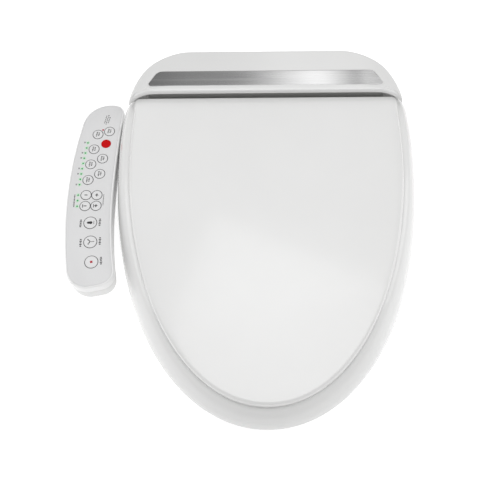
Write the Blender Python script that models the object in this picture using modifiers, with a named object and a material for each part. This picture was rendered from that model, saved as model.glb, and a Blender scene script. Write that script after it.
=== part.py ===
"""Electric bidet seat: a hinged lid and seat ring on a rear casing, with a side arm of push buttons.

Metres, +Z up, +Y towards the cistern. The origin is on the toilet deck, midway between the two fixing bolts.
"""

import math

import bmesh
import bpy
from mathutils import Matrix, Vector

# Overall sizes
SEAT_HALF_WIDTH = 0.217  # at the foot of the seat's skirt
SEAT_FRONT = 0.476  # fixing bolts to the front of the seat
CASE_REAR = 0.057  # fixing bolts to the back of the casing
CASE_HEIGHT = 0.119  # top of the casing at its front lip
ARM_WIDTH = 0.066
ARM_LENGTH = 0.301
ARM_HEIGHT = 0.046
BOLT_SPACING = 0.140

# Fits and walls
GAP = 0.0003  # between pieces that touch
WALL = 0.0025
SEAT_WALL = 0.003

# Seat ring
SEAT_WIDEST_Y = -0.115
SEAT_SHAPE = 2.04  # superellipse exponent
SEAT_FOOT = 0.005  # underside of the skirt
SEAT_REAR_Y = -0.052  # between the hinges
EAR_REAR_Y = -0.024  # of the two corners that stand beside the hinges
EAR_INNER_X = 0.1765
EAR_CORNER = ((0.0005, 0.052), (0.0018, 0.0325), (0.002, 0.029), (0.004, 0.016), (0.0065, 0.006),
              (0.009, 0.0014), (0.0115, 0.0))  # inwards from the side, forwards from the rear
ARC_STEPS = 15
NOTCH_GAP = 0.004  # between the seat and the casing's nose
SKIRT_POWER_FRONT = 1.25  # the skirt's section: 1 is a quarter ellipse, and less is fuller
SKIRT_POWER_REAR = 0.70
SEAT_TOP = ((0.05, 0.0006), (0.10, 0.0010), (0.15, 0.0011), (0.22, 0.0010), (0.45, 0.0002), (0.80, -0.0045),
            (0.94, -0.0085), (1.0, -0.0150))  # share of the way in to the opening, rise
LID_INSET = 0.0245  # seat's foot to the lid's edge, at the side
OPENING_HALF_WIDTH = 0.120
OPENING_HALF_LENGTH = 0.137
RIM_FRONT = 0.068  # ring's width in front of the opening
BRIDGE_FOOT = 0.050  # underside of the ring behind the opening, where the nozzle passes

# Lid
LID_REAR_Y = -0.0195
LID_REAR_Z = 0.0998
LID_FRONT_INSET = 0.021
LID_FALL = 0.1147  # slope down to the front
LID_RIM = 0.012
LID_WALL = 0.003
LID_CROWN = 0.0025
LID_CORNER = 0.007

# Hinge line
HINGE_Y = -0.042
HINGE_Z = 0.086
KNUCKLE_RADIUS = 0.0075
PIN_RADIUS = 0.004
PIN_CLEARANCE = 0.0004
LID_HINGE_X = (0.074, 0.100)
POST_X = (0.104, 0.128)
SEAT_HINGE_X = (0.138, 0.156)

# The seat's rear corners fall away under the lid's rear edge, which swings down past them
EAR_DIP = 0.0275
EAR_DIP_FRONT_Y = -0.0560
EAR_DIP_REAR_Y = -0.0530

# Casing
CASE_INSET = 0.021  # seat's foot to the casing's top edge, at the side
CASE_DRAFT = 0.004
CASE_FLAT = 0.112  # half width of the straight back
LIP_Y = -0.020
LIP_THICKNESS = 0.009
LIP_OVERHANG = 0.008
CASE_FALL = 0.17  # slope down to the back
HORN_DROP = 0.013
HORN_Y = -0.031
HORN_FOOT = 0.0905  # the horns start above this
TRAY_FLOOR = 0.006
TRAY_WALL_TOP = 0.030
TRIM_THICKNESS = 0.0008
TRIM_FRONT_Y = -0.010
TRIM_BACK_Y = 0.018
TRIM_FRONT_HALF = 0.170
TRIM_BACK_HALF = 0.155

# Nose of the casing, under the lid
NOSE_FRONT_Y = -0.104
NOSE_FRONT_HALF = 0.100
NOSE_BACK_HALF = 0.152
NOSE_FRONT_Z = 0.056
NOSE_BACK_Z = 0.060

# Side arm: a sector of a ring about this centre, swung round the seat
ARM_BEND_RADIUS = 0.680  # its outer edge
ARM_MIDDLE_Y = -0.155
ARM_REAR_Y = 0.010
ARM_SEAT_GAP = 0.0025
ARM_TAPER = 0.012  # how much its inner edge comes in by the rear end
ARM_FOOT = 0.006
ARM_SPLIT_Z = 0.030
OVERLAY_INSET = 0.003
OVERLAY_THICKNESS = 0.0006

# Buttons
BUTTON_RADIUS = 0.0070
MODE_RADIUS = 0.0087
BUTTON_GAP = 0.0003
BUTTON_PROUD = 0.0005
LEFT_COLUMN = 0.0275  # from the arm's outer edge to the button's centre
RIGHT_COLUMN = 0.0430
MODE_COLUMN = 0.0362
LAMP_COLUMN = 0.0162

# Wash nozzle and its drive
NOZZLE_TILT = math.radians(14)
NOZZLE_RADIUS = 0.0065
NOZZLE_LENGTH = 0.115
NOZZLE_TIP = Vector((0.0, -0.097, 0.026))
RACK_MODULE = 0.0015
GEAR_TEETH = 12

# Ports in the casing's back and the release button in its side
PORT_Z = 0.0185
INLET_X = -0.092
INLET_RADIUS = 0.008
INLET_BORE = 0.004
GLAND_X = 0.080
GLAND_RADIUS = 0.0065
GLAND_BORE = 0.0035
RELEASE_Y = 0.0
RELEASE_HALF = (0.0045, 0.0060)  # along the wall, up

# Warm-air unit
FAN_X = 0.078
FAN_Y = 0.008
FAN_RADIUS = 0.034
FAN_FOOT = 0.010
FAN_DEPTH = 0.026
DUCT_X = 0.066
DUCT_HALF = 0.019
DUCT_LOW = 0.014
DUCT_HIGH = 0.038

WHITE = ((0.86, 0.86, 0.85), 0.30, 0.0)
WARM_WHITE = ((0.84, 0.84, 0.83), 0.34, 0.0)
INNER_WHITE = ((0.70, 0.70, 0.69), 0.50, 0.0)
MEMBRANE = ((0.76, 0.77, 0.78), 0.42, 0.0)
BUTTON_WHITE = ((0.80, 0.80, 0.81), 0.40, 0.0)
BUTTON_RED = ((0.78, 0.01, 0.02), 0.35, 0.0)
GREY = ((0.30, 0.29, 0.28), 0.55, 0.0)
DARK = ((0.05, 0.05, 0.05), 0.50, 0.0)
RUBBER = ((0.62, 0.62, 0.61), 0.80, 0.0)
STEEL = ((0.62, 0.61, 0.59), 0.32, 1.0)
BRASS = ((0.72, 0.55, 0.28), 0.30, 1.0)
BOARD = ((0.05, 0.28, 0.12), 0.45, 0.0)
LAMP = ((0.20, 0.80, 0.35), 0.25, 0.0)
LAMP_RED = ((0.75, 0.05, 0.12), 0.25, 0.0)


# ---------------------------------------------------------------- tools

def clear_scene():
    for obj in list(bpy.data.objects):
        bpy.data.objects.remove(obj, do_unlink=True)


def new_collection(name):
    made = bpy.data.collections.new(name)
    bpy.context.scene.collection.children.link(made)
    return made


def material(name, look):
    color, roughness, metallic = look
    made = bpy.data.materials.new(name)
    made.use_nodes = True
    shader = made.node_tree.nodes["Principled BSDF"]
    shader.inputs["Base Color"].default_value = (*color, 1.0)
    shader.inputs["Roughness"].default_value = roughness
    shader.inputs["Metallic"].default_value = metallic
    return made


def add(name, bm, look, parent=None, place=(0, 0, 0)):
    """One part from a bmesh drawn about its own origin, which goes to place."""
    mesh = bpy.data.meshes.new(name)
    bm.to_mesh(mesh)
    bm.free()
    obj = bpy.data.objects.new(name, mesh)
    parts.objects.link(obj)
    if look:
        mesh.materials.append(material(name, look))
        mesh.shade_smooth()
        mesh.set_sharp_from_angle(angle=math.radians(40))
    obj.parent = parent
    obj.location = place
    return obj


def cutter(bm, name):
    obj = add(name, bm, None)
    parts.objects.unlink(obj)
    cutters.objects.link(obj)
    obj.hide_render = True
    obj.display_type = "WIRE"
    return obj


def boolean(obj, other, operation="DIFFERENCE"):
    modifier = obj.modifiers.new(operation.title(), "BOOLEAN")
    modifier.operation = operation
    modifier.object = other


def thicken(obj, thickness, even=True):
    modifier = obj.modifiers.new("Wall", "SOLIDIFY")
    modifier.thickness = thickness
    modifier.offset = -1
    modifier.use_even_offset = even
    modifier.thickness_clamp = 0


def soften(obj, width, segments=2):
    modifier = obj.modifiers.new("Edges", "BEVEL")
    modifier.width = width
    modifier.segments = segments
    modifier.limit_method = "ANGLE"
    modifier.angle_limit = math.radians(40)


def at_height(points, z):
    return [Vector((p[0], p[1], z)) for p in points]


def skin(rings, closed_round=False, cap_first=False, cap_last=False):
    """Faces between rings of equal count. Anticlockwise rings that rise face outwards."""
    bm = bmesh.new()
    rows = [[bm.verts.new(p) for p in ring] for ring in rings]
    pairs = list(zip(rows, rows[1:]))
    if closed_round:
        pairs.append((rows[-1], rows[0]))
    for low, high in pairs:
        for i in range(len(low)):
            j = (i + 1) % len(low)
            bm.faces.new((low[i], low[j], high[j], high[i]))
    if cap_first:
        bm.faces.new(reversed(rows[0]))
    if cap_last:
        bm.faces.new(rows[-1])
    return bm


def box(low, high):
    bm = bmesh.new()
    bmesh.ops.create_cube(bm, size=1.0)
    low, high = Vector(low), Vector(high)
    size = high - low
    matrix = Matrix.Translation((low + high) / 2) @ Matrix.Diagonal((*size, 1))
    bmesh.ops.transform(bm, matrix=matrix, verts=bm.verts)
    return bm


def cylinder(radius, low, high, sides=20):
    bm = bmesh.new()
    bmesh.ops.create_cone(bm, cap_ends=True, segments=sides, radius1=radius, radius2=radius, depth=high - low,
                          matrix=Matrix.Translation((0, 0, (low + high) / 2)))
    return bm


def turned(name, profile, look, steps=16, parent=None, place=(0, 0, 0)):
    """A turned piece about +Z: (radius, z) pairs down its outer side, from the axis back to the axis."""
    bm = bmesh.new()
    verts = [bm.verts.new((r, 0, z)) for r, z in profile]
    for a, b in zip(verts, verts[1:]):
        bm.edges.new((a, b))
    obj = add(name, bm, look, parent, place)
    modifier = obj.modifiers.new("Turn", "SCREW")
    modifier.steps = modifier.render_steps = steps
    modifier.use_merge_vertices = True
    modifier.merge_threshold = 0.0001
    return obj


def turn_x(obj):
    """Lays a piece drawn along +Z along X."""
    obj.rotation_euler = (0, math.pi / 2, 0)
    return obj


def offset(points, distance):
    """An anticlockwise outline moved inwards, with limited mitres."""
    moved = []
    count = len(points)
    for i, point in enumerate(points):
        before = Vector(points[i - 1][:2])
        here = Vector(point[:2])
        after = Vector(points[(i + 1) % count][:2])
        first, second = (here - before).normalized(), (after - here).normalized()
        normal = Vector((-first.y, first.x)) + Vector((-second.y, second.x))
        normal.normalize()
        stretch = max(normal.dot(Vector((-first.y, first.x))), 0.6)
        moved.append(here + normal * distance / stretch)
    return moved


def mirrored(half):
    """The whole outline from its right half, which starts and ends on the Y axis."""
    return [Vector(p) for p in half] + [Vector((-p[0], p[1])) for p in half[-2:0:-1]]


def superellipse(a, b, exponent, angle):
    c, s = math.cos(angle), math.sin(angle)
    power = 2 / exponent
    return a * math.copysign(abs(c) ** power, c), b * math.copysign(abs(s) ** power, s)


def front_arc(a, centre_y, front_y, exponent, steps):
    """From the front tip round to the widest point."""
    points = []
    for k in range(steps + 1):
        x, y = superellipse(a, centre_y - front_y, exponent, math.radians(-90 + 90 * k / steps))
        points.append((x if k else 0.0, centre_y + y))
    return points


# ---------------------------------------------------------------- shared outlines

def lid_plane(y):
    return LID_REAR_Z + (y - LID_REAR_Y) * LID_FALL


def ear_dip(y):
    share = (y - EAR_DIP_FRONT_Y) / (EAR_DIP_REAR_Y - EAR_DIP_FRONT_Y)
    return EAR_DIP * min(max(share, 0.0), 1.0)


def seat_rim(y):
    """Height of the seat's top edge, just under the lid's rim."""
    return lid_plane(y) - LID_RIM - 0.001


def lid_outline():
    half_width = SEAT_HALF_WIDTH - LID_INSET
    half = front_arc(half_width, -0.110, -SEAT_FRONT + LID_FRONT_INSET, 2.05, 15)
    rear_half = half_width - 0.0045
    half.append((half_width - 0.0012, -0.066))
    for k in range(4):
        angle = math.radians(30 * k)
        half.append((rear_half - LID_CORNER + LID_CORNER * math.cos(angle),
                     LID_REAR_Y - LID_CORNER + LID_CORNER * math.sin(angle)))
    half.append((rear_half / 2, LID_REAR_Y))
    half.append((0.0, LID_REAR_Y))
    return mirrored(half)


def notch():
    """The seat's rear edge between its hinge arms, round the nose."""
    back = NOSE_BACK_HALF + NOTCH_GAP
    front = NOSE_FRONT_HALF + 2 * NOTCH_GAP
    front_y = NOSE_FRONT_Y - NOTCH_GAP
    step_y = EAR_DIP_FRONT_Y - GAP
    step_x = back + (front - back) * (SEAT_REAR_Y - step_y) / (SEAT_REAR_Y - front_y)
    return [(back, SEAT_REAR_Y), (step_x, step_y), (front, front_y), (front / 2, front_y), (0.0, front_y)]


def seat_outline(half_width, front_y, centre_y, exponent):
    half = front_arc(half_width, centre_y, front_y, exponent, ARC_STEPS)
    half += [(half_width - inwards, EAR_REAR_Y - forward) for inwards, forward in EAR_CORNER]
    rear = notch()
    start, end = Vector((EAR_INNER_X, EAR_REAR_Y)), Vector(rear[0])
    half += [tuple(start.lerp(end, share)) for share in (0.0, 1 / 3, 2 / 3)]
    return mirrored(half + rear)


def seat_foot_outline():
    return seat_outline(SEAT_HALF_WIDTH, -SEAT_FRONT, SEAT_WIDEST_Y, SEAT_SHAPE)


def seat_top_outline():
    inset = LID_INSET + 0.002
    return seat_outline(SEAT_HALF_WIDTH - inset, -SEAT_FRONT + LID_FRONT_INSET + 0.002, -0.110, 2.05)


def opening_centre():
    return Vector((0.0, -SEAT_FRONT + RIM_FRONT + OPENING_HALF_LENGTH))


def seat_opening():
    """A point on the opening for each point of the seat's foot, on the same line from the centre."""
    centre = opening_centre()
    points = []
    for point in seat_foot_outline():
        ray = point - centre
        angle = math.atan2(ray.y, ray.x)
        reach = (abs(math.cos(angle) / OPENING_HALF_WIDTH) ** 2.15
                 + abs(math.sin(angle) / OPENING_HALF_LENGTH) ** 2.15) ** (-1 / 2.15)
        points.append(centre + reach * Vector((math.cos(angle), math.sin(angle))))
    return points


def seat_feet():
    """Height of the seat's underside at each outline point: raised where the nozzle passes under."""
    edge = NOSE_FRONT_HALF + 0.009
    return [BRIDGE_FOOT if abs(p.x) < edge and p.y > NOSE_FRONT_Y - 0.010 else SEAT_FOOT
            for p in seat_foot_outline()]


def case_half(front_y, widen=0.0):
    """Right half of the casing's top view, from the middle of its front to the middle of its back."""
    side = SEAT_HALF_WIDTH - CASE_INSET + widen
    half = [(0.0, front_y), (0.085, front_y), (side - 0.026, front_y),
            (side - 0.006, front_y + 0.3 * (HORN_Y - front_y)), (side - 0.003, HORN_Y + 0.001),
            (side, HORN_Y)]
    width, depth = side - CASE_FLAT, CASE_REAR - HORN_Y
    for k in range(1, 9):
        x, y = superellipse(width, depth, 1.8, math.radians(90 * k / 8))
        half.append((CASE_FLAT + (x if k < 8 else 0.0), HORN_Y + y))
    half.append((0.0, CASE_REAR))
    return half


def case_outline(front_y, widen=0.0):
    return mirrored(case_half(front_y, widen))


def wall_outline(front_y, widen):
    """The casing's outline below its horns, where the seat's corners stand in front of it."""
    half = case_half(front_y, widen)
    return mirrored([(x, max(y, front_y + 0.002 * max(k - 2, 0))) for k, (x, y) in enumerate(half)])


def case_top(x, y):
    side = SEAT_HALF_WIDTH - CASE_INSET
    beyond = max(0.0, (abs(x) - (side - 0.031)) / 0.031)
    return CASE_HEIGHT - CASE_FALL * (y - LIP_Y) - HORN_DROP * min(beyond, 1.0) ** 1.6


NOSE_REAR_Y = LIP_Y + LIP_OVERHANG  # the casing's front wall under its lip


def nose_half():
    return [(0.0, NOSE_FRONT_Y), (NOSE_FRONT_HALF - 0.006, NOSE_FRONT_Y),
            (NOSE_FRONT_HALF + 0.002, NOSE_FRONT_Y + 0.005), (NOSE_BACK_HALF, HINGE_Y - 0.004)]


def nose_outline():
    rear_y = NOSE_REAR_Y - 2 * GAP
    return mirrored(nose_half() + [(NOSE_BACK_HALF, rear_y), (0.0, rear_y)])


def nose_inside():
    """The room inside the nose, running out through its open back."""
    rear = NOSE_REAR_Y + 0.008
    return mirrored(nose_inside_half() + [(NOSE_BACK_HALF - WALL, rear), (0.0, rear)])


def nose_inside_half():
    front = NOSE_FRONT_Y + WALL
    return [(0.0, front), (NOSE_FRONT_HALF - 0.007, front), (NOSE_FRONT_HALF - 0.0005, front + 0.004),
            (NOSE_BACK_HALF - WALL, HINGE_Y - 0.004)]


def nose_top(y):
    return NOSE_FRONT_Z + (NOSE_BACK_Z - NOSE_FRONT_Z) * (y - NOSE_FRONT_Y) / (NOSE_REAR_Y - NOSE_FRONT_Y)


def side_wall_x(y, widen, wall=0.0):
    """Half width of the casing at this depth."""
    share = (y - HORN_Y) / (CASE_REAR - HORN_Y - wall)
    width = SEAT_HALF_WIDTH - CASE_INSET + widen - wall - CASE_FLAT
    return CASE_FLAT + width * (1 - share ** 1.8) ** (1 / 1.8)


def box_half(widen, wall):
    """Right half of the casing's box behind its front wall, without the horns."""
    front = NOSE_REAR_Y + wall
    half = [(0.0, front), (side_wall_x(front, widen, wall) - 0.012, front),
            (side_wall_x(front + 0.004, widen, wall), front + 0.004)]
    width, depth = SEAT_HALF_WIDTH - CASE_INSET + widen - wall - CASE_FLAT, CASE_REAR - HORN_Y - wall
    for k in range(2, 9):
        x, y = superellipse(width, depth, 1.8, math.radians(90 * k / 8))
        half.append((CASE_FLAT + (x if k < 8 else 0.0), HORN_Y + y))
    half.append((0.0, CASE_REAR - wall))
    return half


def tray_outline():
    """The nose and the casing's foot as one outline."""
    return mirrored(nose_half() + [(NOSE_BACK_HALF, NOSE_REAR_Y)] + box_half(CASE_DRAFT, 0.0)[1:])


def tray_inside():
    corner = [(NOSE_BACK_HALF - WALL, NOSE_REAR_Y + WALL)]
    return mirrored(nose_inside_half() + corner + box_half(CASE_DRAFT, WALL)[1:])


# The arm is laid out by column, in from its outer edge, and by place along its middle line, towards the rear.
ARM_CENTRE_X = ARM_BEND_RADIUS - SEAT_HALF_WIDTH - ARM_SEAT_GAP - ARM_WIDTH
ARM_REAR = ARM_REAR_Y - ARM_MIDDLE_Y
ARM_FRONT = ARM_REAR - ARM_LENGTH
ARM_CORNERS = (0.022, 0.012, 0.042, 0.030)  # front inner, rear inner, rear outer, front outer
ARM_TOP = ARM_HEIGHT - 0.001  # the sunk face that carries the overlay


def arm_point(column, along):
    angle = along / (ARM_BEND_RADIUS - ARM_WIDTH / 2)
    reach = ARM_BEND_RADIUS - column
    return Vector((ARM_CENTRE_X - reach * math.cos(angle), ARM_MIDDLE_Y + reach * math.sin(angle)))


def arm_taper(column, along):
    """How far a point of the arm's outline moves in, so that the arm's rear end clears the seat's corner."""
    middle = ARM_WIDTH / 2
    side = min(max((column - middle) / (0.8 * middle), 0.0), 1.0)
    return ARM_TAPER * side * (max(0.0, along) / ARM_REAR) ** 2


def arm_outline(inset=0.0, steps=5):
    """The arm's rounded outline, anticlockwise from its front inner corner."""
    near, far = inset, ARM_WIDTH - inset
    front, rear = ARM_FRONT + inset, ARM_REAR - inset
    corners = ((far, front, 1, -1), (far, rear, 1, 1), (near, rear, -1, 1), (near, front, -1, -1))
    side_ends = {0: rear - ARM_CORNERS[1] + inset, 2: front + ARM_CORNERS[3] - inset}
    points = []
    for k, (column, along, side, end) in enumerate(corners):
        radius = ARM_CORNERS[k] - inset
        for j in range(steps + 1):
            angle = math.radians(90 * (k - 1) + 90 * j / steps)
            points.append((column + side * radius * (abs(math.cos(angle)) - 1),
                           along + end * radius * (abs(math.sin(angle)) - 1)))
        if k in side_ends:
            start = points[-1][1]
            points += [(column, start + (side_ends[k] - start) * j / 7) for j in range(1, 7)]
    return [arm_point(column - arm_taper(column, along), along) for column, along in points]


LEFT_BUTTONS = (0.109, 0.0835, 0.058, 0.032, 0.0075, -0.010)  # along the arm
RIGHT_BUTTONS = (0.117, 0.095, 0.069, 0.043, 0.0075, -0.010)
MODE_BUTTONS = (-0.037, -0.067, -0.098)
LEVEL_LAMPS = [0.093 - 0.0086 * k for k in range(9)] + [0.0075 - 0.0088 * k for k in range(3)]
POWER_LAMP = (0.033, 0.118)


def button_list():
    """(name, column, along, radius) of every button."""
    left = ("pressure", "water_warmth", "seat_warmth", "spray_place", "minus", "less")
    right = ("saving", "power", "air_warmth", "pulse", "plus", "more")
    rows = [("button_" + n, LEFT_COLUMN, a, BUTTON_RADIUS) for n, a in zip(left, LEFT_BUTTONS)]
    rows += [("button_" + n, RIGHT_COLUMN, a, BUTTON_RADIUS) for n, a in zip(right, RIGHT_BUTTONS)]
    modes = ("rear_wash", "front_wash", "stop")
    rows += [("button_" + n, MODE_COLUMN, a, MODE_RADIUS) for n, a in zip(modes, MODE_BUTTONS)]
    return rows


# ---------------------------------------------------------------- casing

def solid(rings):
    return skin(rings, cap_first=True, cap_last=True)


def make_tray():
    outline = tray_outline()
    rings = [at_height(offset(outline, 0.0025), TRAY_FLOOR),
             at_height(offset(outline, 0.0008), TRAY_FLOOR + 0.0008),
             at_height(outline, TRAY_FLOOR + 0.003), at_height(outline, TRAY_WALL_TOP)]
    tray = add("base_tray", solid(rings), WARM_WHITE)
    inside = tray_inside()
    room = solid([at_height(inside, TRAY_FLOOR + WALL), at_height(inside, TRAY_WALL_TOP + 0.005)])
    boolean(tray, cutter(room, "tray_room"))
    for hole in front_holes() + side_holes():
        boolean(tray, hole)


def front_holes():
    """The nozzle's mouth and the warm-air outlet, cut through the tray and the nose alike."""
    mouth = NOZZLE_RADIUS + 0.007
    low, high = NOSE_FRONT_Y - 0.006, NOSE_FRONT_Y + 0.008
    return [cutter(box((-mouth, low, 0.0125), (mouth, high, 0.037)), "nozzle_mouth_cut"),
            cutter(box((DUCT_X - DUCT_HALF + 0.002, low, DUCT_LOW + 0.002),
                       (DUCT_X + DUCT_HALF - 0.002, high, DUCT_HIGH - 0.002)), "air_outlet_cut")]


def side_holes():
    """The holes for the water inlet, the cable gland and the release button."""
    holes = []
    for name, x, radius in (("inlet_cut", INLET_X, INLET_RADIUS), ("gland_cut", GLAND_X, GLAND_RADIUS)):
        hole = cutter(cylinder(radius + GAP, -0.006, 0.006), name)
        hole.location = (x, CASE_REAR, PORT_Z)
        hole.rotation_euler = (math.pi / 2, 0, 0)
        holes.append(hole)
    along, up = RELEASE_HALF[0] + GAP, RELEASE_HALF[1] + GAP
    release = cutter(box((-0.016, -along, -up), (0.010, along, up)), "release_cut")
    place_release(release)
    return holes + [release]


def place_release(obj):
    step = 0.001
    taper = side_wall_x(RELEASE_Y - step, CASE_DRAFT) - side_wall_x(RELEASE_Y + step, CASE_DRAFT)
    obj.location = (side_wall_x(RELEASE_Y, CASE_DRAFT), RELEASE_Y, PORT_Z)
    obj.rotation_euler = (0, 0, math.atan2(taper, 2 * step))


def make_rear_cover():
    recessed, lip = NOSE_REAR_Y, LIP_Y

    def level(outline, drop):
        return [Vector((p[0], p[1], case_top(p[0], p[1]) - drop)) for p in outline]

    top = case_outline(lip)
    rings = [at_height(wall_outline(recessed, CASE_DRAFT), TRAY_WALL_TOP + GAP),
             at_height(wall_outline(recessed, 0.0012), HORN_FOOT),
             level(case_outline(recessed, 0.0008), LIP_THICKNESS + 0.0006),
             level(top, LIP_THICKNESS - 0.0006)]
    for inset, drop in ((0.0, 0.0060), (0.0005, 0.0038), (0.0018, 0.0018), (0.0036, 0.0006), (0.0058, 0.0)):
        rings.append(level(offset(top, inset), drop))
    for share, front in ((0.90, 0.0065), (0.84, 0.0080)):
        inner = [(p.x * share, max(0.018 + (p.y - 0.018) * (share - 0.04), lip + front)) for p in top]
        rings.append(level(inner, 0.0))
    cover = add("rear_cover", solid(rings), WHITE)
    room = solid([at_height(mirrored(box_half(CASE_DRAFT, WALL)), TRAY_WALL_TOP - 0.005),
                  level(mirrored(box_half(0.0, WALL)), WALL + 0.001)])
    boolean(cover, cutter(room, "cover_room"))
    passage = box((-NOSE_BACK_HALF + 0.004, LIP_Y, TRAY_WALL_TOP - 0.005),
                  (NOSE_BACK_HALF - 0.004, NOSE_REAR_Y + WALL + 0.003, NOSE_BACK_Z - 0.004))
    boolean(cover, cutter(passage, "cover_passage"))
    boolean(cover, cutter(trim_solid(-0.0004, -TRIM_THICKNESS - GAP, 0.004), "trim_recess"))


def rounded(corners, steps=4):
    """A polygon with round corners: (x, y, radius), anticlockwise."""
    points = []
    count = len(corners)
    for i, (x, y, radius) in enumerate(corners):
        here = Vector((x, y))
        before = (Vector(corners[i - 1][:2]) - here).normalized()
        after = (Vector(corners[(i + 1) % count][:2]) - here).normalized()
        half = before.angle(after) / 2
        reach = radius / math.tan(half)
        centre = here + (before + after).normalized() * radius / math.sin(half)
        start, end = here + before * reach - centre, here + after * reach - centre
        turn = start.angle_signed(end)
        for k in range(steps + 1):
            angle = -turn * k / steps
            points.append(centre + Vector((start.x * math.cos(angle) - start.y * math.sin(angle),
                                           start.x * math.sin(angle) + start.y * math.cos(angle))))
    return points


def trim_solid(inset, low, high):
    outline = rounded([(-TRIM_FRONT_HALF, TRIM_FRONT_Y, 0.004), (TRIM_FRONT_HALF, TRIM_FRONT_Y, 0.004),
                       (TRIM_BACK_HALF, TRIM_BACK_Y, 0.011), (-TRIM_BACK_HALF, TRIM_BACK_Y, 0.011)])
    outline = offset(outline, inset)

    def level(rise):
        return [Vector((p.x, p.y, case_top(0.0, p.y) + rise)) for p in outline]

    return solid([level(low), level(high)])


def make_trim():
    add("trim_plate", trim_solid(0.0, -TRIM_THICKNESS, 0.0), STEEL)


def make_shroud():
    """Grey strip along the recess under the casing's lip."""
    side = SEAT_HALF_WIDTH - CASE_INSET - 0.009
    top = CASE_HEIGHT - LIP_THICKNESS - CASE_FALL * 0.008 - 0.002
    back = NOSE_REAR_Y - GAP
    under_horn = HORN_FOOT - 2 * GAP
    half = ((side, NOSE_BACK_Z + 0.012), (side, under_horn - 0.002), (side - 0.016, under_horn),
            (side - 0.022, top))
    outline = list(half) + [(-x, z) for x, z in reversed(half)]
    add("hinge_shroud", solid([[Vector((x, y, z)) for x, z in outline] for y in (back, back - 0.0015)]), GREY)


def hinge_outline(first, last, extra):
    """Side view (y, z) of a knuckle round the hinge line, with a web or tongue to the extra points."""
    points = []
    for k in range(13):
        angle = math.radians(first + (last - first) * k / 12)
        points.append((HINGE_Y + KNUCKLE_RADIUS * math.cos(angle),
                       HINGE_Z + KNUCKLE_RADIUS * math.sin(angle)))
    return points + list(extra)


def slab(outline, x_low, x_high):
    """A side view (y, z), anticlockwise seen along -X, extruded along X."""
    return solid([[Vector((x, y, z)) for y, z in outline] for x in (x_low, x_high)])


def pin_hole(name, x_low, x_high):
    hole = cutter(cylinder(PIN_RADIUS + PIN_CLEARANCE, x_low - 0.002, x_high + 0.002), name)
    hole.location = (0, HINGE_Y, HINGE_Z)
    return turn_x(hole)


def both_sides(span):
    """The span along X on the right, then on the left."""
    low, high = span
    return (("right", low, high), ("left", -high, -low))


def make_front_cover():
    outline = nose_outline()

    def level(inset, drop):
        return [Vector((p.x, p.y, nose_top(p.y) - drop)) for p in offset(outline, inset)]

    rings = [at_height(outline, TRAY_WALL_TOP + GAP), level(0.0, 0.005), level(0.0008, 0.0025),
             level(0.0025, 0.0008), level(0.005, 0.0)]
    cover = add("front_cover", solid(rings), WARM_WHITE)
    inside = nose_inside()
    ceiling = [Vector((p.x, p.y, nose_top(p.y) - WALL)) for p in inside]
    boolean(cover, cutter(solid([at_height(inside, TRAY_WALL_TOP - 0.005), ceiling]), "nose_room"))
    foot = HINGE_Y - 0.036
    toe = foot + 0.020
    web = hinge_outline(-80, 170, ((foot, nose_top(foot) - 0.001), (toe, nose_top(toe) - 0.001)))
    for side, low, high in both_sides(POST_X):
        boolean(cover, cutter(slab(web, low, high), "post_" + side), "UNION")
        boolean(cover, pin_hole("post_bore_" + side, low, high))
    for hole in front_holes():
        boolean(cover, hole)


# ---------------------------------------------------------------- lid, seat and hinges

def make_lid():
    outline = lid_outline()
    middle = Vector((0.0, -0.205))

    def level(inset, drop):
        points = offset(outline, inset) if inset else outline
        return [Vector((p.x, p.y, lid_plane(p.y) - drop)) for p in points]

    def scaled(share, drop):
        points = [middle + (p - middle) * share for p in outline]
        return [Vector((p.x, p.y, lid_plane(p.y) - drop + LID_CROWN * (1 - share ** 2))) for p in points]

    rings = [scaled(0.2, LID_WALL), scaled(0.6, LID_WALL), scaled(0.93, LID_WALL), level(0.0034, 0.0048),
             level(0.003, LID_RIM), level(0.0006, LID_RIM), level(0.0, LID_RIM - 0.0006), level(0.0, 0.0055),
             level(0.0006, 0.0030), level(0.0022, 0.0011), level(0.005, 0.0002),
             scaled(0.93, 0.0), scaled(0.75, 0.0), scaled(0.5, 0.0), scaled(0.2, 0.0)]
    add("lid", skin(rings, cap_first=True, cap_last=True), WHITE)


def skirt_power(y):
    """The skirt is fuller beside the hinges than at the front."""
    share = min(max((y + 0.34) / 0.26, 0.0), 1.0)
    return SKIRT_POWER_FRONT + (SKIRT_POWER_REAR - SKIRT_POWER_FRONT) * share


def make_seat():
    foot, top, opening, feet = seat_foot_outline(), seat_top_outline(), seat_opening(), seat_feet()
    rings = []
    for k in range(5):
        angle = math.radians(22.5 * k)
        ring = []
        for low, high, z in zip(foot, top, feet):
            power = skirt_power(low.y)
            inwards = 1 - max(math.cos(angle), 0.0) ** power
            p = low.lerp(high, inwards)
            rise = (seat_rim(high.y) - ear_dip(high.y) - z) * math.sin(angle) ** power
            ring.append(Vector((p.x, p.y, z + rise)))
        rings.append(ring)
    for share, rise in SEAT_TOP:
        points = [a.lerp(b, share) for a, b in zip(top, opening)]
        rings.append([Vector((p.x, p.y, seat_rim(p.y) - ear_dip(p.y) + rise)) for p in points])
    rings.append([Vector((p.x, p.y, z + 0.003)) for p, z in zip(opening, feet)])
    seat = add("seat_top", skin(rings), WHITE)
    thicken(seat, SEAT_WALL, even=False)
    make_seat_base(foot, opening, feet)
    make_heater(top, opening)


def make_seat_base(foot, opening, feet):
    inset = SEAT_WALL + 0.0012
    outer = offset(foot, inset)
    inner = offset(opening, -inset)
    low, high = 0.001, 0.0035
    rings = [[Vector((p.x, p.y, z + rise)) for p, z in zip(points, feet)]
             for points, rise in ((outer, low), (outer, high), (inner, high + 0.002), (inner, low + 0.002))]
    add("seat_base", skin(rings, closed_round=True), INNER_WHITE)


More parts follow.
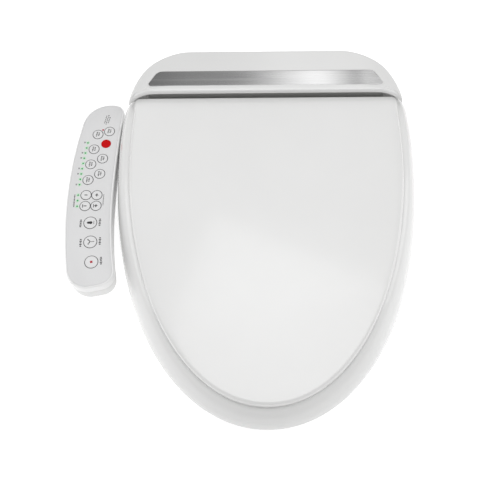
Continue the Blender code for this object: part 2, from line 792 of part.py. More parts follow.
def make_heater(top, opening):
    rings = []
    drop = SEAT_WALL + 0.0034
    for depth, shares in ((drop + 0.0005, ((0.40, 0.0002), (0.54, -0.0012), (0.70, -0.0036))),
                          (drop, ((0.70, -0.0036), (0.54, -0.0012), (0.40, 0.0002)))):
        for share, rise in shares:
            points = [a.lerp(b, share) for a, b in zip(top, opening)]
            rings.append([Vector((p.x, p.y, seat_rim(p.y) + rise - depth)) for p in points])
    add("seat_heater", skin(list(reversed(rings)), closed_round=True), GREY)


def make_bumpers():
    top = SEAT_FOOT + 0.0007
    for name, x, y in (("front", 0.075, -0.432), ("rear", 0.160, -0.215)):
        for side, sign in (("right", 1), ("left", -1)):
            profile = ((0, top), (0.0095, top), (0.0095, 0.0008), (0.0087, 0), (0, 0))
            turned(f"seat_bumper_{name}_{side}", profile, RUBBER, place=(sign * x, y, 0))
    x, y, radius = 0.095, -0.385, 0.006
    high, low = lid_plane(y) - LID_WALL - 0.0011, seat_rim(y) + 0.0010
    for side, sign in (("right", 1), ("left", -1)):
        profile = ((0, high), (radius, high), (radius, low + 0.0008), (radius - 0.0008, low), (0, low))
        turned("lid_bumper_" + side, profile, RUBBER, place=(sign * x, y, 0))


def make_hinges():
    def under_lid(y):
        return lid_plane(y) - LID_WALL - 0.0006

    front = HINGE_Y - 0.036
    rear = HINGE_Y + 0.004
    lid_side = hinge_outline(200, 430, ((rear, under_lid(rear)), (front, under_lid(front)),
                                        (front, under_lid(front) - 0.004)))
    front = HINGE_Y - 0.040
    seat_side = hinge_outline(-170, 165, ((front, seat_rim(front) + 0.0058),
                                          (front, seat_rim(front) + 0.0026)))
    for name, outline, span in (("lid_hinge_", lid_side, LID_HINGE_X),
                                ("seat_hinge_", seat_side, SEAT_HINGE_X)):
        for side, low, high in both_sides(span):
            hinge = add(name + side, slab(outline, low, high), INNER_WHITE)
            boolean(hinge, pin_hole(name + "bore_" + side, low, high))
    for side, low, high in both_sides((LID_HINGE_X[0] - 0.003, SEAT_HINGE_X[1] + 0.002)):
        pin = add("hinge_pin_" + side, cylinder(PIN_RADIUS, low, high), STEEL, place=(0, HINGE_Y, HINGE_Z))
        turn_x(pin)


# ---------------------------------------------------------------- side arm

def button_cuts(name, low, high):
    """One cutter holding a cylinder for every button and lamp."""
    bm = bmesh.new()
    holes = [(c, a, r + BUTTON_GAP, 16) for _, c, a, r in button_list()]
    holes += [(LAMP_COLUMN, a, 0.0013, 8) for a in LEVEL_LAMPS] + [(*POWER_LAMP, 0.0015, 8)]
    for column, along, radius, sides in holes:
        place = arm_point(column, along)
        bmesh.ops.create_cone(bm, cap_ends=True, segments=sides, radius1=radius, radius2=radius,
                              depth=high - low,
                              matrix=Matrix.Translation((place.x, place.y, (low + high) / 2)))
    return cutter(bm, name)


def make_arm():
    draft = ((0.0065, ARM_FOOT), (0.0045, ARM_FOOT + 0.0015), (0.0036, ARM_FOOT + 0.007), (0.0022, 0.021),
             (0.0012, ARM_SPLIT_Z))
    base = [at_height(arm_outline(inset), z) for inset, z in draft]
    thicken(add("arm_base", skin(base, cap_first=True), WARM_WHITE), WALL)
    rim = OVERLAY_INSET - GAP
    draft = ((0.0012, ARM_SPLIT_Z + GAP), (0.0002, ARM_HEIGHT - 0.006), (0.0002, ARM_HEIGHT - 0.002),
             (0.0006, ARM_HEIGHT - 0.0006), (0.0018, ARM_HEIGHT), (rim - 0.0002, ARM_HEIGHT), (rim, ARM_TOP))
    shell = add("arm_cover", solid([at_height(arm_outline(inset), z) for inset, z in draft]), WHITE)
    room = solid([at_height(arm_outline(WALL + 0.0012), ARM_SPLIT_Z - 0.005),
                  at_height(arm_outline(WALL + 0.0004), ARM_TOP - WALL)])
    boolean(shell, cutter(room, "arm_room"))
    cut = button_cuts("button_cuts", ARM_TOP - 0.008, ARM_HEIGHT + 0.004)
    boolean(shell, cut)
    face = arm_outline(OVERLAY_INSET)
    low = ARM_TOP + GAP
    overlay = solid([at_height(face, low), at_height(face, low + OVERLAY_THICKNESS)])
    boolean(add("keypad_overlay", overlay, MEMBRANE), cut)
    board = arm_outline(0.007)
    level = ARM_TOP - 0.011
    add("keypad_board", solid([at_height(board, level), at_height(board, level + 0.0016)]), BOARD)
    bracket = box((-SEAT_HALF_WIDTH - 0.035, -0.020, 0.0027), (-0.150, 0.0, TRAY_FLOOR - GAP))
    add("arm_bracket", bracket, STEEL)


def make_buttons():
    face = ARM_TOP + GAP + OVERLAY_THICKNESS
    under = ARM_TOP - WALL - GAP
    for name, column, along, radius in button_list():
        top = face + BUTTON_PROUD
        flange, stem, plate = radius + 0.0006, 0.002, under - 0.0012
        profile = ((0, top), (radius - 0.0003, top), (radius, top - 0.0003), (radius, under), (flange, under),
                   (flange, plate), (stem, plate), (stem, under - 0.0055), (0, under - 0.0055))
        place = arm_point(column, along)
        look = BUTTON_RED if name == "button_power" else BUTTON_WHITE
        turned(name, profile, look, place=(place.x, place.y, 0))


def make_lamps():
    face = ARM_TOP + GAP + OVERLAY_THICKNESS
    strip_low, strip_high = ARM_TOP - WALL - 0.0027, ARM_TOP - WALL - 0.0012
    first, last = LEVEL_LAMPS[0] + 0.003, LEVEL_LAMPS[-1] - 0.003
    half = 0.0016
    count = 8
    outline = [arm_point(LAMP_COLUMN - half, first + (last - first) * k / count) for k in range(count + 1)]
    outline += [arm_point(LAMP_COLUMN + half, last + (first - last) * k / count) for k in range(count + 1)]
    strip = add("light_guide", solid([at_height(outline, strip_low), at_height(outline, strip_high)]), LAMP)
    bm = bmesh.new()
    low = (strip_low + strip_high) / 2
    for along in LEVEL_LAMPS:
        place = arm_point(LAMP_COLUMN, along)
        bmesh.ops.create_cone(bm, cap_ends=True, segments=8, radius1=0.001, radius2=0.001, depth=face - low,
                              matrix=Matrix.Translation((place.x, place.y, (low + face) / 2)))
    boolean(strip, cutter(bm, "lamp_pips"), "UNION")
    place = arm_point(*POWER_LAMP)
    pip, collar = 0.0012, 0.0020
    profile = ((0, face), (pip, face), (pip, strip_high), (collar, strip_high), (collar, strip_low),
               (0, strip_low))
    turned("power_lamp", profile, LAMP_RED, steps=8, place=(place.x, place.y, 0))


# ---------------------------------------------------------------- washing

def toothed(teeth, root, tip, share_root, share_tip):
    """Outline of a wheel with straight-sided teeth, one of them on the -X side."""
    points = []
    step = 2 * math.pi / teeth
    for k in range(teeth):
        centre = math.pi + k * step
        for radius, shift in ((root, -share_root), (tip, -share_tip), (tip, share_tip), (root, share_root)):
            angle = centre + shift * step / 2
            points.append(Vector((radius * math.cos(angle), radius * math.sin(angle))))
    return points


def wheel(outline, bore, low, high):
    inner = [p.normalized() * bore for p in outline]
    rings = [at_height(outline, low), at_height(outline, high), at_height(inner, high), at_height(inner, low)]
    return skin(rings, closed_round=True)


def make_nozzle():
    frame = bpy.data.objects.new("nozzle_frame", None)
    parts.objects.link(frame)
    frame.location = NOZZLE_TIP
    frame.rotation_euler = (NOZZLE_TILT, 0, 0)
    radius, length = NOZZLE_RADIUS, NOZZLE_LENGTH
    profile = [(0, length), (radius, length), (radius, 0.006)]
    for angle in (math.radians(65), math.radians(40), math.radians(15)):
        profile.append((radius * math.sin(angle), 0.006 - 0.006 * math.cos(angle)))
    nozzle = turned("nozzle", profile + [(0, 0)], STEEL, parent=frame)
    nozzle.rotation_euler = (-math.pi / 2, 0, 0)
    pitch = math.pi * RACK_MODULE
    pitch_radius = RACK_MODULE * GEAR_TEETH / 2
    gear_y = 0.016
    pitch_x = radius + 0.004
    tip, root = 0.9 * RACK_MODULE, 1.25 * RACK_MODULE
    outline = [(radius + 0.0004, 0.002)]
    count = int((length - 0.008) / pitch)
    for k in range(count):
        centre = gear_y + (k - 1.5) * pitch
        outline += [(pitch_x - root, centre - 0.36 * pitch), (pitch_x + tip, centre - 0.12 * pitch),
                    (pitch_x + tip, centre + 0.12 * pitch), (pitch_x - root, centre + 0.36 * pitch)]
    outline = [p for p in outline if p[1] >= 0.002]
    outline.append((radius + 0.0004, outline[-1][1]))
    rack = solid([at_height(outline, -0.003), at_height(outline, 0.003)])
    add("nozzle_rack", rack, INNER_WHITE, parent=frame)
    teeth = toothed(GEAR_TEETH, pitch_radius - root, pitch_radius + tip, 0.62, 0.20)
    place = (pitch_x + pitch_radius, gear_y, 0)
    add("nozzle_gear", wheel(teeth, 0.0019, -0.0028, 0.0028), BRASS, parent=frame, place=place)
    profile = ((0, 0.021), (0.010, 0.021), (0.010, 0.0045), (0.0015, 0.0045), (0.0015, -0.0024), (0, -0.0024))
    turned("nozzle_motor", profile, STEEL, parent=frame, place=place)
    inner, outer = radius + 0.0005, radius + 0.004
    cradle = ((-outer, -outer), (outer, -outer), (outer, -0.0036), (inner, -0.0036), (inner, -inner),
              (-inner, -inner), (-inner, 0.004), (-outer, 0.004))
    rings = [[Vector((x, y, z)) for x, z in cradle] for y in (0.100, 0.008)]
    add("nozzle_cradle", solid(rings), INNER_WHITE, parent=frame)


def make_water():
    tank = add("water_tank", box((-0.150, -0.001, 0.012), (-0.070, 0.024, 0.074)), INNER_WHITE)
    soften(tank, 0.004)
    front, back = 0.0275, CASE_REAR - 0.0125
    block = box((INLET_X - 0.018, front, 0.0095), (INLET_X + 0.018, back, 0.030))
    valve = add("solenoid_valve", block, INNER_WHITE)
    coil = cutter(cylinder(0.0075, 0.028, 0.050), "valve_coil")
    coil.location = (INLET_X, (front + back) / 2, 0)
    boolean(valve, coil, "UNION")
    low, reach, edge = GAP, CASE_REAR + 0.0155 - back, 0.0012
    radius, flange = INLET_RADIUS, INLET_RADIUS + 0.002
    profile = ((0, 0.006), (INLET_BORE, 0.006), (INLET_BORE, reach), (radius - edge, reach),
               (radius, reach - edge), (radius, 0.004), (flange, 0.004), (flange, low), (0, low))
    inlet = turned("inlet_connector", profile, BRASS, place=(INLET_X, back, PORT_Z))
    inlet.rotation_euler = (-math.pi / 2, 0, 0)


# ---------------------------------------------------------------- warm air

def make_fan():
    radius = FAN_RADIUS
    inner = radius - 0.002
    profile = ((0, 0.002), (inner, 0.002), (inner, FAN_DEPTH), (radius, FAN_DEPTH), (radius, 0), (0, 0))
    housing = turned("fan_housing", profile, INNER_WHITE, steps=24, place=(FAN_X, FAN_Y, FAN_FOOT))
    inner_half = DUCT_HALF - 0.0015
    mouth = box((DUCT_X - inner_half, FAN_Y - radius - 0.004, DUCT_LOW + 0.002),
                (DUCT_X + inner_half, FAN_Y - 0.012, FAN_FOOT + FAN_DEPTH - 0.003))
    boolean(housing, cutter(mouth, "fan_mouth_cut"))
    vanes = toothed(9, 0.009, radius - 0.005, 0.24, 0.06)
    impeller = wheel(vanes, 0.0026, 0.004, FAN_DEPTH - 0.004)
    add("impeller", impeller, INNER_WHITE, place=(FAN_X, FAN_Y, FAN_FOOT))
    low = FAN_DEPTH + GAP
    profile = ((0, 0.044), (0.013, 0.044), (0.013, low + 0.002), (radius, low + 0.002), (radius, low),
               (0.002, low), (0.002, 0.006), (0, 0.006))
    turned("fan_motor", profile, STEEL, steps=24, place=(FAN_X, FAN_Y, FAN_FOOT))


def make_duct():
    rear, front = FAN_Y - FAN_RADIUS - 0.002, NOSE_FRONT_Y + WALL + 0.002
    wall = 0.0015
    corners = ((-1, -1), (1, -1), (1, 1), (-1, 1))
    middle_z, half_z = (DUCT_LOW + DUCT_HIGH) / 2, (DUCT_HIGH - DUCT_LOW) / 2

    def ring(y, thin):
        wide, tall = DUCT_HALF - thin, half_z - thin
        return [Vector((DUCT_X + u * wide, y, middle_z + v * tall)) for u, v in corners]

    duct = skin([ring(rear, 0), ring(front, 0), ring(front, wall), ring(rear, wall)], closed_round=True)
    add("air_duct", duct, INNER_WHITE)
    inset = 0.0032
    flap = box((DUCT_X - DUCT_HALF + inset, -0.0008, -(DUCT_HIGH - DUCT_LOW) + 2 * inset),
               (DUCT_X + DUCT_HALF - inset, 0.0008, 0.0))
    add("air_flap", flap, WARM_WHITE, place=(0, NOSE_FRONT_Y + 0.0013, DUCT_HIGH - inset))


# ---------------------------------------------------------------- electrics and fixings

def make_electrics():
    add("main_board", box((-0.150, -0.004, 0.080), (0.150, 0.034, 0.0816)), BOARD)
    bore, radius, flange = GLAND_BORE, GLAND_RADIUS, GLAND_RADIUS + 0.003
    profile = ((bore, 0.0022), (flange, 0.0022), (flange, GAP), (radius, GAP), (radius, -0.008),
               (bore, -0.008), (bore, 0.0022))
    gland = turned("cable_gland", profile, DARK, place=(GLAND_X, CASE_REAR, PORT_Z))
    gland.rotation_euler = (-math.pi / 2, 0, 0)


def stadium(half_width, half_length, steps=6):
    points = []
    straight = half_length - half_width
    for k in range(steps + 1):
        angle = math.radians(180 * k / steps)
        points.append(Vector((half_width * math.cos(angle), straight + half_width * math.sin(angle))))
    return points + [-p for p in points]


def make_fixings():
    plate = add("mount_plate", box((-0.095, -0.036, 0.0), (0.095, 0.036, TRAY_FLOOR - 0.0005)), INNER_WHITE)
    for side, sign in (("right", 1), ("left", -1)):
        slot = stadium(0.006, 0.017)
        hole = cutter(solid([at_height(slot, -0.003), at_height(slot, 0.009)]), "bolt_slot_" + side)
        hole.location = (sign * BOLT_SPACING / 2, 0, 0)
        boolean(plate, hole)
    along, up = RELEASE_HALF
    place_release(add("release_button", box((-0.0075, -along, -up), (0.0020, along, up)), GREY))


clear_scene()
parts = new_collection("electric_bidet_seat")
cutters = new_collection("cutters")
cutters.hide_render = True
make_tray()
make_rear_cover()
make_trim()
make_shroud()
make_front_cover()
make_lid()
make_seat()
make_bumpers()
make_hinges()
make_arm()
make_buttons()
make_lamps()
make_nozzle()
make_water()
make_fan()
make_duct()
make_electrics()
make_fixings()
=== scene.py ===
"""Looks for the electric bidet seat: fine surfaces, printed keypad, materials, light and camera."""

import math

import bmesh
import bpy
from mathutils import Matrix, Vector


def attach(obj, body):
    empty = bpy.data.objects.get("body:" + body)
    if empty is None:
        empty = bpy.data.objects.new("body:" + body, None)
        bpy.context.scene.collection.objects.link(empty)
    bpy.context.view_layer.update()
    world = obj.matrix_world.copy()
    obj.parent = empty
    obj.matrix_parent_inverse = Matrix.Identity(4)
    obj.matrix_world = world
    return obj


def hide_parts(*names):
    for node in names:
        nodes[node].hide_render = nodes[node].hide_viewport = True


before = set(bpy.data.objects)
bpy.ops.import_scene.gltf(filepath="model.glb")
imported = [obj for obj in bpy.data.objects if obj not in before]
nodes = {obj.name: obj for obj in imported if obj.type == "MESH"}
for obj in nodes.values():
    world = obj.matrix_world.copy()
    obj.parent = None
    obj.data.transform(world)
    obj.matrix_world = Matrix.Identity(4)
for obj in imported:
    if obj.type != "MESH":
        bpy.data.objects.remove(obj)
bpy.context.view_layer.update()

# Dimensions of the CAD model, in metres
SEAT_HALF_WIDTH = 0.217
SEAT_FRONT = 0.476
SEAT_WALL = 0.003
SEAT_WIDEST_Y = -0.115
SEAT_SHAPE = 2.04
SEAT_FOOT = 0.005
SEAT_UNDER_LID = 0.002
SEAT_REAR_Y = -0.052
EAR_REAR_Y = -0.0145
EAR_INNER_X = 0.1825
EAR_CORNER = ((0.0005, 0.060), (0.0018, 0.040), (0.0032, 0.025), (0.0048, 0.013), (0.0064, 0.005),
              (0.0082, 0.0012), (0.0105, 0.0))
RELIEF_X = (0.159, 0.1895)
RELIEF_FRONT_Y = -0.0495
RELIEF_REAR_Y = -0.0125
RELIEF_Z = 0.059
NOTCH_BACK = 0.156
NOTCH_FRONT = 0.108
NOTCH_FRONT_Y = -0.108
SKIRT_POWER_FRONT = 1.25
SKIRT_POWER_REAR = 0.70
SKIRT_CHANGE_Y = -0.34
SKIRT_CHANGE_LENGTH = 0.26
SEAT_TOP = ((0.0, 0.0), (0.05, 0.0006), (0.10, 0.0010), (0.15, 0.0011), (0.22, 0.0010), (0.33, 0.0008),
            (0.45, 0.0002), (0.64, -0.0018), (0.80, -0.0045), (0.94, -0.0085), (1.0, -0.0150))
OPENING_HALF_WIDTH = 0.120
OPENING_HALF_LENGTH = 0.137
OPENING_SHAPE = 2.15
OPENING_CENTRE = Vector((0.0, -0.271))
BRIDGE_FOOT = 0.050
ARC_STEPS = 30
LID_INSET = 0.0245
LID_FRONT_INSET = 0.021
LID_WIDEST_Y = -0.110
LID_SHAPE = 2.05
LID_NARROWING = 0.0045
LID_MIDDLE = Vector((0.0, -0.205))
LID_CLEARANCE = 0.001
LID_REAR_Y = -0.0195
LID_REAR_Z = 0.0998
LID_FALL = 0.1147
LID_RIM = 0.012
LID_WALL = 0.003
LID_CROWN = 0.0025
LID_CORNER = 0.007
SOFT_EDGE = (0.0046, 0.0055)
CRISP_EDGE = (0.0012, 0.0012)
CRISP_EDGE_Y = -0.026
CRISP_EDGE_LENGTH = 0.012
CASE_INSET = 0.021
CASE_DRAFT = 0.004
CASE_FLAT = 0.112
CASE_REAR = 0.057
CASE_SHAPE = 1.8
CASE_ROUNDING_REACH = 0.0035
CASE_HEIGHT = 0.119
CASE_FALL = 0.17
LIP_Y = -0.020
LIP_THICKNESS = 0.009
WALL_Y = -0.012
HORN_DROP = 0.013
HORN_RUN = 0.031
HORN_Y = -0.031
HORN_FOOT = 0.0905
COVER_FOOT = 0.0303
TRIM_THICKNESS = 0.0008
TRIM_CORNERS = ((-0.170, -0.010, 0.004), (0.170, -0.010, 0.004),
                (0.155, 0.018, 0.011), (-0.155, 0.018, 0.011))
PASSAGE = (0.148, -0.0065, 0.056)
ARM_BEND_RADIUS = 0.680
ARM_MIDDLE_Y = -0.155
ARM_WIDTH = 0.066
ARM_CENTRE_X = 0.3945
ARM_REAR = 0.165
ARM_FRONT = -0.136
ARM_TAPER = 0.012
ARM_CORNERS = (0.022, 0.012, 0.042, 0.030)
ARM_HEIGHT = 0.046
ARM_TOP = 0.045
ARM_FOOT = 0.006
ARM_SPLIT_Z = 0.030
ARM_ROUNDING = 0.0020
WALL = 0.0025
GAP = 0.0003
OVERLAY_INSET = 0.003
FACE_Z = 0.0459
BUTTON_GAP = 0.0003
BUTTON_PROUD = 0.0005
CAP_ROUNDING = 0.0003
LEFT_COLUMN = 0.0275
RIGHT_COLUMN = 0.0430
MODE_COLUMN = 0.0362
LAMP_COLUMN = 0.0162
LEFT_BUTTONS = (0.109, 0.0835, 0.058, 0.032, 0.0075, -0.010)
RIGHT_BUTTONS = (0.117, 0.095, 0.069, 0.043, 0.0075, -0.010)
MODE_BUTTONS = (-0.037, -0.067, -0.098)
LEVEL_LAMPS = [0.093 - 0.0086 * k for k in range(9)] + [0.0075 - 0.0088 * k for k in range(3)]
LAMP_HOLE = 0.0013
POWER_LAMP = (0.033, 0.118)
POWER_LAMP_HOLE = 0.0015
BUTTON_RADIUS = 0.0070
MODE_RADIUS = 0.0087


# ---------------------------------------------------------------- materials

class Nodes:
    """A short way to build a node tree."""

    def __init__(self, name):
        self.material = bpy.data.materials.new(name)
        self.material.use_nodes = True
        self.tree = self.material.node_tree
        self.shader = self.tree.nodes["Principled BSDF"]
        self.place = self.add("ShaderNodeTexCoord").outputs["Object"]

    def add(self, kind, **values):
        node = self.tree.nodes.new(kind)
        for key, value in values.items():
            setattr(node, key, value)
        return node

    def link(self, a, b):
        self.tree.links.new(a, b)

    def stretched(self, scale):
        node = self.add("ShaderNodeMapping")
        node.inputs["Scale"].default_value = scale
        self.link(self.place, node.inputs["Vector"])
        return node.outputs["Vector"]

    def noise(self, scale, detail=2.0, vector=None):
        node = self.add("ShaderNodeTexNoise")
        node.inputs["Scale"].default_value = scale
        node.inputs["Detail"].default_value = detail
        self.link(vector or self.place, node.inputs["Vector"])
        return node.outputs["Fac"]

    def ramp(self, fac, low, high, start=0.3, end=0.7):
        node = self.add("ShaderNodeValToRGB")
        first, last = node.color_ramp.elements
        first.position, last.position = start, end
        first.color, last.color = (*low, 1), (*high, 1)
        self.link(fac, node.inputs["Fac"])
        return node.outputs["Color"]

    def span(self, fac, low, high, start=0.3, end=0.7):
        node = self.add("ShaderNodeMapRange")
        for key, value in (("From Min", start), ("From Max", end), ("To Min", low), ("To Max", high)):
            node.inputs[key].default_value = value
        self.link(fac, node.inputs["Value"])
        return node.outputs["Result"]

    def bump(self, height, strength, distance, normal=None):
        node = self.add("ShaderNodeBump")
        node.inputs["Strength"].default_value = strength
        node.inputs["Distance"].default_value = distance
        self.link(height, node.inputs["Height"])
        if normal:
            self.link(normal, node.inputs["Normal"])
        return node.outputs["Normal"]

    def set(self, **values):
        for key, value in values.items():
            self.shader.inputs[key.replace("_", " ")].default_value = value

    def into(self, key, output):
        self.link(output, self.shader.inputs[key])


def scaled(color, factor):
    return tuple(min(c * factor, 1.0) for c in color)


def plastic(name, color, rough=0.3, coat=0.0, grain=(650.0, 0.05), shift=0.012):
    """Moulded plastic: faint flow marks in its colour, uneven polish and a fine orange peel."""
    n = Nodes(name)
    n.into("Base Color", n.ramp(n.noise(9.0, 3.0), scaled(color, 1 - shift), scaled(color, 1 + shift)))
    n.into("Roughness", n.span(n.noise(70.0, 4.0), rough - 0.03, rough + 0.03))
    slow = n.bump(n.noise(24.0, 1.0), 0.05, 0.0004)
    n.into("Normal", n.bump(n.noise(grain[0], 3.0), grain[1], 0.0002, slow))
    n.set(Coat_Weight=coat, Coat_Roughness=0.09)
    return n.material


# X span over which the trim's painted reflection stripes are spread.
REFLECTION_BAND_REACH = 0.18


def brushed_with_painted_reflection(name, reflection_bands, rough=0.26, direction=(3.0, 900.0, 900.0)):
    """Metal with fine hairlines along X, and a painted reflection: broad light and dark stripes along X set
    into the base colour.
    """
    n = Nodes(name)
    lines = n.noise(1.0, 6.0, n.stretched(direction))
    broad = n.noise(1.0, 2.0, n.stretched(tuple(v * 0.16 for v in direction)))
    apart = n.add("ShaderNodeSeparateXYZ")
    n.link(n.place, apart.inputs["Vector"])
    # Painted reflection: a grey ramp along X, multiplied into the base colour.
    painted_reflection = n.add("ShaderNodeValToRGB")
    painted_reflection.color_ramp.interpolation = "B_SPLINE"
    while len(painted_reflection.color_ramp.elements) < len(reflection_bands):
        painted_reflection.color_ramp.elements.new(0.5)
    for element, (x, grey) in zip(painted_reflection.color_ramp.elements, reflection_bands):
        element.position = 0.5 + x / (2 * REFLECTION_BAND_REACH)
        element.color = (grey, grey, grey, 1)
    n.link(n.span(apart.outputs["X"], 0.0, 1.0, -REFLECTION_BAND_REACH, REFLECTION_BAND_REACH), painted_reflection.inputs["Fac"])
    mix = n.add("ShaderNodeMix", data_type="RGBA", blend_type="MULTIPLY")
    mix.inputs["Factor"].default_value = 1.0
    n.link(painted_reflection.outputs["Color"], mix.inputs["A"])
    n.link(n.ramp(lines, (0.90, 0.90, 0.90), (1.0, 1.0, 1.0)), mix.inputs["B"])
    n.into("Base Color", mix.outputs["Result"])
    n.into("Roughness", n.span(broad, rough - 0.05, rough + 0.06))
    n.into("Normal", n.bump(lines, 0.16, 0.00006))
    n.set(Metallic=1.0, Anisotropic=0.4)
    return n.material


def turned_metal(name, color, rough):
    n = Nodes(name)
    n.into("Base Color", n.ramp(n.noise(60.0, 4.0), scaled(color, 0.92), scaled(color, 1.06)))
    n.into("Roughness", n.span(n.noise(300.0, 3.0), rough - 0.05, rough + 0.07))
    n.into("Normal", n.bump(n.noise(1400.0, 2.0), 0.08, 0.00005))
    n.set(Metallic=1.0)
    return n.material


def rubber(name, color):
    n = Nodes(name)
    n.into("Base Color", n.ramp(n.noise(120.0, 5.0), scaled(color, 0.93), scaled(color, 1.05)))
    n.into("Roughness", n.span(n.noise(400.0, 2.0), 0.72, 0.88))
    n.into("Normal", n.bump(n.noise(1100.0, 4.0), 0.25, 0.0001))
    return n.material


def circuit_board(name):
    """Green solder mask with the raised tracks under it."""
    n = Nodes(name)
    tracks = n.add("ShaderNodeTexBrick", offset=0.37)
    tracks.inputs["Color1"].default_value = (0.03, 0.22, 0.09, 1)
    tracks.inputs["Color2"].default_value = (0.04, 0.27, 0.12, 1)
    tracks.inputs["Mortar"].default_value = (0.10, 0.42, 0.20, 1)
    tracks.inputs["Scale"].default_value = 160.0
    tracks.inputs["Mortar Size"].default_value = 0.03
    n.link(n.place, tracks.inputs["Vector"])
    n.into("Base Color", tracks.outputs["Color"])
    n.into("Roughness", n.span(n.noise(200.0), 0.28, 0.42))
    n.into("Normal", n.bump(tracks.outputs["Fac"], 0.15, 0.0001))
    return n.material


def lamp(name, color, glow):
    """A small lens of tinted resin, lit from below."""
    n = Nodes(name)
    n.into("Base Color", n.ramp(n.noise(900.0), scaled(color, 0.85), scaled(color, 1.1)))
    n.into("Roughness", n.span(n.noise(500.0), 0.16, 0.26))
    n.into("Normal", n.bump(n.noise(1500.0), 0.08, 0.00005))
    n.set(Emission_Color=(*color, 1), Emission_Strength=glow)
    return n.material


def ink(name, color):
    """Screen-printed ink, slightly uneven."""
    n = Nodes(name)
    n.into("Base Color", n.ramp(n.noise(700.0, 4.0), scaled(color, 0.8), scaled(color, 1.25)))
    n.into("Roughness", n.span(n.noise(500.0), 0.45, 0.6))
    n.into("Normal", n.bump(n.noise(2200.0), 0.1, 0.00003))
    return n.material


WHITE = plastic("white_gloss", (0.80, 0.80, 0.795), 0.24, 0.35)
WARM_WHITE = plastic("white_satin", (0.78, 0.78, 0.775), 0.34, 0.15)
INNER = plastic("inner_plastic", (0.66, 0.66, 0.65), 0.5, 0.0, (380.0, 0.12), 0.03)
ARM_WHITE = plastic("arm_white", (0.92, 0.92, 0.92), 0.3, 0.2)
FILM = plastic("keypad_film", (0.77, 0.77, 0.775), 0.42, 0.0, (1500.0, 0.12))
CAP = plastic("button_film", (0.80, 0.80, 0.805), 0.42, 0.0, (1500.0, 0.12))
RED = plastic("button_red", (0.58, 0.001, 0.003), 0.55, 0.0, (1500.0, 0.12), 0.05)
RED.node_tree.nodes["Principled BSDF"].inputs["Specular IOR Level"].default_value = 0.12
# Partly the hinge shroud's own grey, partly painted shade: darkened to stand in for the shade in the recess
# under the casing lip. The release button shares it.
GREY_AND_PAINTED_RECESS_SHADE = plastic("grey_and_painted_recess_shade", (0.42, 0.42, 0.41), 0.5, 0.0, (420.0, 0.2), 0.04)
DARK = plastic("dark_plastic", (0.04, 0.04, 0.04), 0.5, 0.0, (420.0, 0.2), 0.05)
HEATER = plastic("heater_film", (0.45, 0.36, 0.22), 0.4, 0.2, (260.0, 0.2), 0.06)
# The trim's grey stripes along X are a painted reflection of the studio, not marks left by brushing.
TRIM_PAINTED_REFLECTION = brushed_with_painted_reflection("trim_brushed_painted_reflection", ((-0.17, 0.34), (-0.145, 0.40), (-0.11, 0.50), (-0.04, 0.56), (0.01, 0.70),
                                (0.045, 0.90), (0.068, 1.0), (0.09, 0.95), (0.115, 0.62), (0.132, 0.50),
                                (0.145, 0.80), (0.17, 0.92)))
STEEL = turned_metal("steel", (0.60, 0.59, 0.57), 0.28)
BRASS = turned_metal("brass", (0.70, 0.53, 0.26), 0.28)
RUBBER = rubber("rubber", (0.60, 0.60, 0.59))
BOARD = circuit_board("board")
GREEN = lamp("lamp_green", (0.015, 0.26, 0.07), 0.35)
LAMP_RED = lamp("lamp_red", (0.45, 0.01, 0.03), 0.25)
INK = ink("ink_dark", (0.018, 0.016, 0.018))
INK_GREY = ink("ink_grey", (0.05, 0.05, 0.052))
INK_RED = ink("ink_red", (0.42, 0.005, 0.02))
INK_GREEN = ink("ink_green", (0.60, 0.78, 0.62))

LOOKS = {}
for names, look in (
    (("base_tray", "front_cover", "air_flap", "arm_base"), WARM_WHITE),
    (("lid", "seat_top", "rear_cover"), WHITE),
    (("arm_cover",), ARM_WHITE),
    (("keypad_overlay",), FILM),
    # The shroud's grey carries painted shade for the recess under the lip.
    (("hinge_shroud", "release_button"), GREY_AND_PAINTED_RECESS_SHADE),
    (("cable_gland",), DARK),
    (("seat_heater",), HEATER),
    (("trim_plate",), TRIM_PAINTED_REFLECTION),
    (("hinge_pin_left", "hinge_pin_right", "nozzle", "nozzle_motor", "fan_motor", "arm_bracket"), STEEL),
    (("nozzle_gear", "inlet_connector"), BRASS),
    (("lid_bumper_left", "lid_bumper_right", "seat_bumper_front_left", "seat_bumper_front_right",
      "seat_bumper_rear_left", "seat_bumper_rear_right"), RUBBER),
    (("keypad_board", "main_board"), BOARD),
    (("light_guide",), GREEN),
    (("power_lamp",), LAMP_RED),
):
    for name in names:
        LOOKS[name] = look
for name, node in nodes.items():
    node.data.materials.clear()
    node.data.materials.append(LOOKS.get(name, CAP if name.startswith("button_") else INNER))
    node.data.shade_smooth()
    node.data.set_sharp_from_angle(angle=math.radians(35))


# ---------------------------------------------------------------- tools

def piece(name, bm, looks, body, replaced=(), smooth=40):
    mesh = bpy.data.meshes.new(name)
    bmesh.ops.recalc_face_normals(bm, faces=bm.faces)
    bm.to_mesh(mesh)
    bm.free()
    obj = bpy.data.objects.new(name, mesh)
    bpy.context.scene.collection.objects.link(obj)
    for look in looks:
        mesh.materials.append(look)
    mesh.shade_smooth()
    mesh.set_sharp_from_angle(angle=math.radians(smooth))
    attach(obj, body)
    if replaced:
        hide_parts(*replaced)
    return obj


def apply_all(obj):
    """Turns the modifiers into the mesh, so that helpers can go."""
    bpy.context.view_layer.update()
    graph = bpy.context.evaluated_depsgraph_get()
    made = bpy.data.meshes.new_from_object(obj.evaluated_get(graph))
    old = obj.data
    obj.modifiers.clear()
    obj.data = made
    bpy.data.meshes.remove(old)
    made.shade_smooth()
    made.set_sharp_from_angle(angle=math.radians(38))


